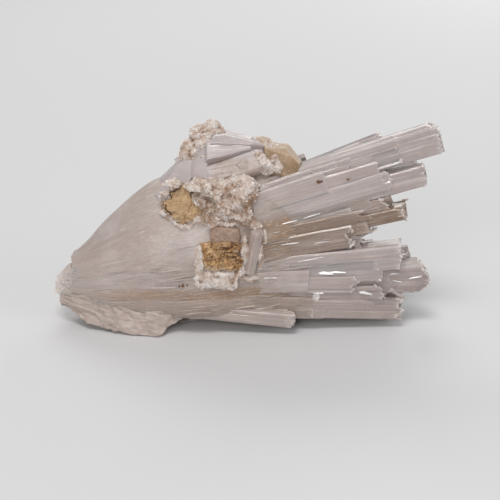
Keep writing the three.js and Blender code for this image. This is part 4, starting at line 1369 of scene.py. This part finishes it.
class Recipe(Tree):
    """A node material being built: short calls that add nodes and join them."""

    def __init__(self, name):
        self.material = bpy.data.materials.new(name)
        self.material.use_nodes = True
        self.tree = self.material.node_tree
        self.tree.nodes.clear()
        self.output = self.tree.nodes.new("ShaderNodeOutputMaterial")

    def distance(self, place, middle):
        node = self.node("ShaderNodeVectorMath", {0: place, 1: middle}, operation="DISTANCE")
        return node.outputs["Value"]

    def mark(self, name):
        return self.node("ShaderNodeAttribute", attribute_name=name).outputs["Fac"]

    def stretch(self, vector, scale):
        return self.node("ShaderNodeMapping", {"Vector": vector, "Scale": scale}).outputs["Vector"]

    def noise(self, vector, scale=1.0, detail=3.0, roughness=0.55, distortion=0.0):
        inputs = {"Vector": vector, "Scale": scale, "Detail": detail, "Roughness": roughness,
                  "Distortion": distortion}
        return self.node("ShaderNodeTexNoise", inputs).outputs["Fac"]

    def spread(self, value, low, high, to_low=0.0, to_high=1.0):
        inputs = {"Value": value, "From Min": low, "From Max": high, "To Min": to_low, "To Max": to_high}
        return self.node("ShaderNodeMapRange", inputs).outputs["Result"]

    def blend(self, share, first, second):
        node = self.node("ShaderNodeMix", {"Factor": share}, data_type="RGBA")
        for socket, value in ((node.inputs[6], first), (node.inputs[7], second)):
            if isinstance(value, bpy.types.NodeSocket):
                self.tree.links.new(value, socket)
            else:
                socket.default_value = (*value, 1.0)
        return node.outputs[2]

    def bump(self, height, distance, strength=1.0, normal=None):
        inputs = {"Height": height, "Distance": distance, "Strength": strength}
        if normal is not None:
            inputs["Normal"] = normal
        return self.node("ShaderNodeBump", inputs).outputs["Normal"]

    def finish(self, volume=None, **inputs):
        surface = self.node("ShaderNodeBsdfPrincipled", {k.replace("_", " "): v for k, v in inputs.items()})
        self.tree.links.new(surface.outputs["BSDF"], self.output.inputs["Surface"])
        if volume:
            colour, density = volume
            absorb = self.node("ShaderNodeVolumeAbsorption", {"Color": (*colour, 1.0), "Density": density})
            self.tree.links.new(absorb.outputs["Volume"], self.output.inputs["Volume"])
        return self.material


# Whites of the scolecite: the clouds in it, its silky lines, and its crushed edges, whose white also paints
# a highlight along the long edges of the crystals.
CLOUD_WHITE, SILK_WHITE, FROST_AND_HIGHLIGHT_WHITE = (0.60, 0.535, 0.515), (0.80, 0.74, 0.71), (0.80, 0.73, 0.695)
ROOT_FADE = (0.008, 0.03)  # x, in metres, between which the body's colours turn to the crystals' own


def fan_place(r):
    """Where a point lies among the fan's fibres, read from Object coordinates: across, through, along."""
    place = r.node("ShaderNodeTexCoord").outputs["Object"]
    inputs = {0: place, 1: placed(BODY_APEX)}
    out = r.node("ShaderNodeVectorMath", inputs, operation="SUBTRACT").outputs["Vector"]
    x, y, z = r.node("ShaderNodeSeparateXYZ", {"Vector": out}).outputs
    up = r.times(r.math("ARCTAN2", z, x), BODY_RADIUS)
    sideways = r.times(r.math("ARCTAN2", y, x), BODY_RADIUS)
    along = r.math("DIVIDE", x, MM)
    return r.node("ShaderNodeCombineXYZ", {"X": up, "Y": sideways, "Z": along}).outputs["Vector"]


def scolecite_finish(name, milky, cool, tan, on_fan=False, silkiness=1.0, gloss=0.2, root=None):
    """Milky to glassy crystal: silky lines along its growth, clouds in it, crushed white edges, and white
    painted along its long edges as a highlight.

    On the fan its lines follow the fibres; elsewhere they follow each crystal's own length. root is the
    pair of colours that it starts with near the fused body.
    """
    r = Recipe(name)
    place = r.node("ShaderNodeTexCoord").outputs["Object"]
    if on_fan:
        growth = fan_place(r)
        broad, silky, thin = (0.2, 0.2, 0.008), (0.8, 0.8, 0.02), (1.7, 1.7, 0.05)
    else:
        growth = r.node("ShaderNodeUVMap", uv_map="growth").outputs["UV"]
        broad, silky, thin = (0.3, 0.02, 1), (1.1, 0.03, 1), (2.0, 0.08, 1)
    frost, clear, stain = r.mark("frost"), r.mark("clear"), r.mark("stain")
    veil = r.noise(r.stretch(growth, broad), detail=3, roughness=0.55, distortion=0.3)
    silk = r.noise(r.stretch(growth, silky), detail=4, roughness=0.6, distortion=0.15)
    fine = r.noise(r.stretch(growth, thin), detail=3, roughness=0.6)
    cloud = r.noise(place, scale=95, detail=4, roughness=0.6)
    threads = r.spread(silk, 0.6, 0.72)
    if root:
        beyond = r.node("ShaderNodeSeparateXYZ", {"Vector": place}).outputs["X"]
        beyond = r.spread(beyond, *ROOT_FADE)
        milky, cool = r.blend(beyond, root[0], milky), r.blend(beyond, root[1], cool)
    colour = r.blend(r.spread(veil, 0.36, 0.64), milky, cool)
    colour = r.blend(r.spread(cloud, 0.52, 0.7, 0.0, 0.4), colour, CLOUD_WHITE)
    dimmest, brightest = (0.94, 1.04) if on_fan else (0.96, 1.07)
    shadowed = r.spread(r.plus(silk, r.times(cloud, 0.5)), 0.55, 0.85, dimmest, brightest)
    # the stain mark browns towards tan: real stains, and painted shade in the crossing's crevices
    warm = r.times(stain, r.spread(r.plus(veil, silk), 0.75, 1.2, 0.45, 1.0), clamp=True)
    colour = r.blend(warm, colour, tan)
    colour = r.scaled(colour, shadowed)
    strand = r.times(r.spread(fine, 0.54, 0.68), r.spread(silk, 0.4, 0.6), clamp=True)
    dust = r.spread(r.noise(place, scale=1200, detail=3, roughness=0.7), 0.6, 0.72)
    colour = r.scaled(colour, r.spread(fine, 0.3, 0.46, 0.95, 1.0))
    bright = r.most(r.times(threads, 0.25 * silkiness), r.times(strand, 0.42 * silkiness))
    bright = r.most(bright, r.times(dust, 0.3))
    colour = r.blend(bright, colour, SILK_WHITE)
    # the frost white: crushed tips and rims, and the painted highlight along the long edges
    colour = r.blend(r.times(frost, 0.85), colour, FROST_AND_HIGHLIGHT_WHITE)
    see = r.times(clear, r.spread(cloud, 0.38, 0.6, 0.3, 0.6), clamp=True)
    see = r.times(see, r.spread(threads, 0, 1, 1.0, 0.6))
    see = r.times(see, r.spread(frost, 0, 0.6, 1.0, 0.1), clamp=True)
    smooth = (0.3, 0.45) if on_fan else (0.12 - 0.08 * gloss, 0.3 - 0.2 * gloss)
    rough = r.plus(r.spread(silk, 0.3, 0.7, *smooth), r.times(frost, 0.35), clamp=True)
    grain = r.noise(place, scale=1400, detail=2)
    normal = r.bump(fine, 0.00012, 0.6)
    normal = r.bump(silk, 0.0005, 0.5 * silkiness, normal)
    normal = r.bump(r.times(grain, frost), 0.0003, 0.7, normal)
    return r.finish(
        volume=((0.93, 0.87, 0.81), 40.0),
        Base_Color=colour,
        Roughness=rough,
        IOR=1.52,
        Transmission_Weight=see,
        Subsurface_Weight=0.5,
        Subsurface_Radius=(1.0, 0.85, 0.78),
        Subsurface_Scale=0.0012,
        Coat_Weight=gloss,
        Coat_Roughness=0.12 - 0.1 * gloss,
        Normal=normal,
    )


# Where the crust is paler than elsewhere, and where it is stained brown: centre and reach of each patch.
CRUST_PALE = [((-12.5, -15.0, 21.0), 7.5)]
CRUST_STAINS = [
    ((-16.0, -13, 48), 5.5), ((2.0, -12, 46.5), 6.5), ((-2.0, -13, 40.5), 4.0), ((-10.5, -8, 56), 2.6),
]


def crust_finish():
    """Pinkish white sugary grains with tan ones among them, brown in the hollows as brown staining and
    painted shade, and in a few stained patches.
    """
    r = Recipe("sugary_crust")
    place = r.node("ShaderNodeTexCoord").outputs["Object"]
    shade, hollow = r.mark("shade"), r.mark("hollow")
    zone = r.noise(place, scale=170, detail=3, roughness=0.6)
    rust = r.noise(place, scale=420, detail=3, roughness=0.65, distortion=0.6)
    colour = r.blend(r.spread(shade, 0.0, 1.0), (0.64, 0.51, 0.44), (0.92, 0.86, 0.82))
    # browner in the hollows between the lumps: brown staining and painted shade
    colour = r.blend(r.spread(hollow, 0.46, 0.57, 0.0, 0.75), colour, (0.56, 0.40, 0.31))
    for centre, reach in CRUST_PALE:
        gap = r.distance(place, placed(centre))
        colour = r.blend(r.spread(gap, (reach + 2) * MM, reach * MM, 0.0, 0.55), colour, (0.95, 0.88, 0.84))
    tanned = r.times(r.spread(zone, 0.52, 0.66), r.spread(shade, 0.2, 0.9, 0.7, 0.3), clamp=True)
    colour = r.blend(tanned, colour, (0.50, 0.34, 0.23))
    # darkest brown in the deepest hollows, painted shade with brown staining, and in the stained patches
    # that follow
    patches = r.spread(hollow, 0.52, 0.62)
    for centre, reach in CRUST_STAINS:
        gap = r.distance(place, placed(centre))
        gap = r.plus(gap, r.times(rust, 0.004))
        patches = r.most(patches, r.spread(gap, (reach + 3) * MM, (reach - 1) * MM))
    browned = r.times(patches, r.spread(rust, 0.4, 0.54), clamp=True)
    colour = r.blend(r.times(browned, 0.85), colour, (0.27, 0.155, 0.085))
    speckle = r.noise(place, scale=1600, detail=2)
    normal = r.bump(speckle, 0.00015, 0.6)
    return r.finish(
        Base_Color=colour, Roughness=r.spread(speckle, 0.3, 0.7, 0.35, 0.6), IOR=1.52,
        Subsurface_Weight=0.4, Subsurface_Radius=(1.0, 0.8, 0.65), Subsurface_Scale=0.0006, Normal=normal,
    )


def rock_finish(name, pale, deep, crack, rim, streak):
    """Fibrous altered rock: streaked pale and deep colours, dark cracks, and a crumbly pale rim."""
    r = Recipe(name)
    place = r.node("ShaderNodeTexCoord").outputs["Object"]
    stain, frost = r.mark("stain"), r.mark("frost")
    fibre = r.noise(r.stretch(place, streak), detail=4, roughness=0.65, distortion=0.5)
    zone = r.noise(place, scale=230, detail=3, roughness=0.6, distortion=0.8)
    grit = r.noise(place, scale=1500, detail=3, roughness=0.7)
    colour = r.blend(r.spread(fibre, 0.38, 0.62), deep, pale)
    colour = r.blend(r.times(r.spread(zone, 0.5, 0.68), 0.55), colour, crack)
    colour = r.blend(r.times(frost, 0.75), colour, rim)
    colour = r.blend(r.times(stain, 0.92), colour, crack)
    colour = r.scaled(colour, r.spread(grit, 0.35, 0.65, 0.85, 1.12))
    normal = r.bump(grit, 0.0002, 0.8)
    normal = r.bump(fibre, 0.0006, 0.7, normal)
    return r.finish(
        Base_Color=colour, Roughness=r.spread(grit, 0.3, 0.7, 0.5, 0.85), IOR=1.5,
        Subsurface_Weight=0.12, Subsurface_Radius=(1.0, 0.6, 0.35), Subsurface_Scale=0.001, Normal=normal,
    )


def calcite_finish():
    """Honey calcite: clear and warm inside, frosted on its upper faces."""
    r = Recipe("honey_calcite")
    place = r.node("ShaderNodeTexCoord").outputs["Object"]
    frost = r.mark("frost")
    cloud = r.noise(place, scale=160, detail=4, roughness=0.6, distortion=0.4)
    grain = r.noise(place, scale=900, detail=3, roughness=0.7)
    colour = r.blend(r.spread(cloud, 0.35, 0.65), (0.50, 0.345, 0.215), (0.57, 0.425, 0.29))
    colour = r.blend(r.times(frost, r.spread(grain, 0.35, 0.6, 0.2, 0.75)), colour, (0.62, 0.51, 0.44))
    see = r.times(r.spread(cloud, 0.35, 0.65, 0.45, 0.2), r.spread(frost, 0, 1, 1.0, 0.1))
    rough = r.plus(r.spread(grain, 0.3, 0.7, 0.18, 0.3), r.times(frost, 0.35), clamp=True)
    normal = r.bump(r.times(grain, r.plus(frost, 0.1)), 0.0004, 0.7)
    return r.finish(
        volume=((0.95, 0.80, 0.58), 90.0),
        Base_Color=colour, Roughness=rough, IOR=1.49, Transmission_Weight=see,
        Subsurface_Weight=0.5, Subsurface_Radius=(1.0, 0.7, 0.4), Subsurface_Scale=0.004, Normal=normal,
    )


def stilbite_finish():
    """Pinkish-tan leaves with a pearly shine."""
    r = Recipe("stilbite")
    place = r.node("ShaderNodeTexCoord").outputs["Object"]
    leaf = r.noise(r.stretch(place, (240, 240, 420)), detail=4, roughness=0.6, distortion=0.5)
    cloud = r.noise(place, scale=200, detail=3)
    colour = r.blend(r.spread(leaf, 0.35, 0.65), (0.345, 0.225, 0.165), (0.42, 0.295, 0.225))
    colour = r.scaled(colour, r.spread(cloud, 0.35, 0.65, 0.85, 1.1))
    return r.finish(
        Base_Color=colour, Roughness=r.spread(leaf, 0.3, 0.7, 0.22, 0.4), IOR=1.5,
        Transmission_Weight=r.times(r.mark("clear"), 0.6), Subsurface_Weight=0.3,
        Subsurface_Radius=(1.0, 0.7, 0.5), Subsurface_Scale=0.002, Normal=r.bump(leaf, 0.0003, 0.5),
    )


# ---------- pieces ----------

# Colours that several finishes share: the fused body's two milky tones, and the brown of its stains.
BODY_MILK, BODY_COOL = (0.45, 0.368, 0.333), (0.445, 0.378, 0.352)
TAN = (0.34, 0.215, 0.13)
# What the fine strands on the body and on the crystals share: they lie flush in the skin, and are milky.
STRANDS = {"Flush": 1.0, "Clearness": 0.08}


def show(piece, node, material):
    """Hands a finished piece to the frame: its finish, its body, and the CAD node that it stands for."""
    piece.data.materials.clear()
    piece.data.materials.append(material)
    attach(piece, "root")
    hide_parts(node)
    return piece


def show_spray(piece, material):
    return show(piece, "scolecite_spray", material)


def body_pieces():
    """The fused body with its foot and broken root, and the slender crystals and fibres that lie on it."""
    material = scolecite_finish("milky_scolecite_fan", BODY_MILK, BODY_COOL, TAN, on_fan=True, gloss=0.03)
    body = Skin()
    add_body(body)
    add_foot(body)
    add_root_stub(body)
    add_root_chips(body)
    milky_body = show_spray(body.piece("milky_body"), material)
    sizes = {"Apex": placed(APEX)}
    show_spray(needle_tree(material).grow("spray_needles", milky_body.data, sizes), material)
    sizes = {"Apex": placed(BODY_APEX)} | STRANDS | {
        "Needles per Area": 1.7e5, "Least Length": 0.01, "Greatest Length": 0.034, "Least Width": 0.0002,
        "Greatest Width": 0.0008, "Sunk": 0.00024, "Spread": 0.0016, "Frosting": 0.3, "Seed": 4,
    }
    show_spray(needle_tree(material, "comb").grow("body_strands", milky_body.data, sizes), material)


def front_pieces(material):
    """The large crystals of the front, and the fine strands along them."""
    front = Skin()
    add_crystals(front, FRONT_CRYSTALS)
    crystals = show_spray(front.piece("front_crystals"), material)
    sizes = {"Apex": placed(APEX)} | STRANDS | {
        "Needles per Area": 1.15e5, "Least Length": 0.004, "Greatest Length": 0.011, "Least Width": 0.0003,
        "Greatest Width": 0.001, "Sunk": 0.00022, "Spread": 0.0015, "Frosting": 0.4, "Seed": 6,
    }
    show_spray(needle_tree(material, "comb").grow("crystal_strands", crystals.data, sizes), material)
    return crystals


def cleaved_piece():
    """Small flats with a shiny coat on the front crystals, turned to catch the light, and coloured near
    white as a painted glint.
    """
    cleaved = Skin()
    for number, (tip, pitch, length, width) in enumerate(CLEAVED_FACES):
        add_crystal(
            cleaved, tip, (pitch, -3, -24), (length, width, 0.6), 81 + number, spacing=0.5, ragged=0.02,
            steps=0, ends=0, chamfers=[(90, 0.2, 4.0)], taper=0.5, frosted=0, threads=0,
        )
    # near white base colour: a painted glint, over the real reflection of the shiny coat
    glint_painted_finish = scolecite_finish(
        "cleaved_scolecite_painted_glint", (0.88, 0.84, 0.82), (0.88, 0.85, 0.84), TAN, silkiness=0.4, gloss=1.0
    )
    show_spray(cleaved.piece("cleaved_faces_painted_glint"), glint_painted_finish)


def back_and_fill_pieces(material, front_crystals):
    """The crystals of the back, the crumbs on all the tips, and the slender crystals in between."""
    back = Skin()
    add_crystals(back, BACK_CRYSTALS, spacing=0.6)
    back_crystals = show_spray(back.piece("back_crystals"), material)
    crumbs = crumb_tree(material)
    for name, crystals in (("front_tip_crumbs", front_crystals), ("back_tip_crumbs", back_crystals)):
        show_spray(crumbs.grow(name, crystals.data, {}), material)
    fill = Skin()
    for layer in FILL_LAYERS:
        add_fill(fill, **layer)
    show_spray(fill.piece("slender_crystals"), material)


def spray_pieces():
    """The whole of the main fan."""
    body_pieces()
    milky = scolecite_finish(
        "milky_scolecite", (0.515, 0.428, 0.403), (0.505, 0.437, 0.423), (0.27, 0.17, 0.1),
        root=(BODY_MILK, BODY_COOL), gloss=0.55,
    )
    front_crystals = front_pieces(milky)
    cleaved_piece()
    back_and_fill_pieces(milky, front_crystals)


def crossing_pieces():
    """The crossing group, and the small prism across the fan, which has the same finish."""
    crossing = Skin()
    add_crystals(
        crossing, CROSSING_CRYSTALS, spacing=0.5, steps=2, ends=2, step_depth=0.15, lines=0.03, ragged=0.2,
        clear=0.25, root_clear=0.15, taper=0.97,
    )
    add_block(crossing, etched=0.3, spacing=0.6, seed=411, clear=0.1, **CROSSING_CORE)
    add_crossing_fronts(crossing)
    pale = scolecite_finish(
        "crossing_scolecite", (0.51, 0.44, 0.43), (0.48, 0.43, 0.43), TAN, silkiness=0.6
    )
    show(crossing.piece("crossing_block", crease=22), "crossing_crystals", pale)
    prism = Skin()
    add_crystal(
        prism, *CROSS_PRISM, spacing=0.25, steps=3, ends=1, step_depth=0.2, clear=0.35, stain=0.45,
        taper=0.97, frosted=0.15, ragged=0.1,
    )
    show(prism.piece("cross_prism_bar"), "cross_prism", pale)


def speck_piece(dark):
    """Specks of dark rock, each a small block cut by faces at random."""
    specks = Skin()
    for number, (centre, half) in enumerate(DARK_SPECKS):
        rng = np.random.default_rng(500 + number)
        faces = [(rng.normal(size=3), half * rng.uniform(0.5, 1.2), 0.0) for _ in range(16)]
        faces += [(side, 1.2 * half, 0.0) for side in np.vstack([np.eye(3), -np.eye(3)])]
        add_block(
            specks, centre, faces, etched=0.1, spacing=0.2, seed=510 + number, rounding=0.03, stain=1.0
        )
    show(specks.piece("dark_specks"), "scolecite_spray", dark)


def calcite_piece(material):
    """The honey coloured blocky crystal."""
    skin = Skin()
    add_block(skin, **CALCITE_BLOCK)
    show(skin.piece("calcite_block", crease=22), "calcite_crystal", material)


def rock_pieces():
    """The two patches of altered rock and the stilbite plate."""
    tan = rock_finish(
        "tan_matrix_rock", pale=(0.58, 0.41, 0.245), deep=(0.45, 0.285, 0.15), crack=(0.15, 0.07, 0.03),
        rim=(0.72, 0.62, 0.50), streak=(220, 220, 700),
    )
    tan_matrix_piece(tan)
    brown = rock_finish(
        "brown_matrix_rock", pale=(0.66, 0.45, 0.25), deep=(0.52, 0.30, 0.13), crack=(0.13, 0.05, 0.018),
        rim=(0.66, 0.55, 0.43), streak=(500, 300, 300),
    )
    brown_matrix_piece(brown)
    stilbite_piece(stilbite_finish())
    return brown


# ---------- studio ----------

CAMERA_ELEVATION = 21.0
CAMERA_DISTANCE = 480.0
CAMERA_TARGET = np.array([0.0, 0.0, 27.0])
CAMERA_LENS = 96.0
# Each light: its place, width and height in metres, its power, and its colour.
LIGHTS = {
    "key": ((-0.12, -0.42, 1.0), (0.45, 0.3), 4.6, (1.0, 0.985, 0.96)),
    "front": ((-0.3, -1.05, 0.5), (0.5, 0.35), 4.1, (1.0, 0.99, 0.975)),
    "side": ((0.85, -0.4, 0.4), (0.6, 0.5), 1.8, (0.97, 0.98, 1.0)),
    "rim": ((-0.2, 0.8, 0.7), (0.7, 0.4), 3.4, (1.0, 0.99, 0.97)),
    "back": ((0.45, 0.95, 0.35), (0.6, 0.5), 2.2, (1.0, 0.99, 0.98)),
}
LIT_POINT = (0.0, 0.0, 0.03)  # what all the lights look at


def aim(thing, target):
    """Turns a camera or a light to look at a place."""
    thing.rotation_euler = (Vector(target) - thing.location).to_track_quat("-Z", "Y").to_euler()


def camera():
    """The camera of the front view, looking a little down."""
    tilt = math.radians(CAMERA_ELEVATION)
    target = (CAMERA_TARGET + CENTRE) * MM
    back = np.array([0.0, -math.cos(tilt), math.sin(tilt)]) * CAMERA_DISTANCE * MM
    data = bpy.data.cameras.new("camera")
    data.lens = CAMERA_LENS
    data.sensor_width = 36.0
    data.clip_start = 0.01
    eye = bpy.data.objects.new("camera", data)
    eye.location = Vector(target + back)
    bpy.context.scene.collection.objects.link(eye)
    aim(eye, target)
    bpy.context.scene.camera = eye


def soft_light(name, place, size, power, colour):
    """A flat light, turned to the cluster."""
    data = bpy.data.lights.new(name, "AREA")
    data.shape = "RECTANGLE"
    data.size, data.size_y = size
    data.energy = power
    data.color = colour
    light = bpy.data.objects.new(name, data)
    light.location = place
    bpy.context.scene.collection.objects.link(light)
    aim(light, LIT_POINT)


def studio():
    """A pale floor, five soft lights and a pale sky."""
    bpy.ops.mesh.primitive_plane_add(size=6, location=(0, 0, 0))
    floor = bpy.context.object
    floor.name = "studio_floor"
    recipe = Recipe("pale_floor")
    floor.data.materials.append(recipe.finish(Base_Color=(0.66, 0.66, 0.67, 1), Roughness=0.7))
    for name, light in LIGHTS.items():
        soft_light(name, *light)
    world = bpy.data.worlds.new("studio")
    world.use_nodes = True
    sky = world.node_tree.nodes["Background"]
    sky.inputs["Color"].default_value = (0.88, 0.89, 0.9, 1)
    sky.inputs["Strength"].default_value = 0.34
    bpy.context.scene.world = world


bpy.context.scene.view_settings.view_transform = "Standard"
camera()
spray_pieces()
crossing_pieces()
calcite_piece(calcite_finish())
speck_piece(rock_pieces())
crust_pieces(crust_finish())
studio()
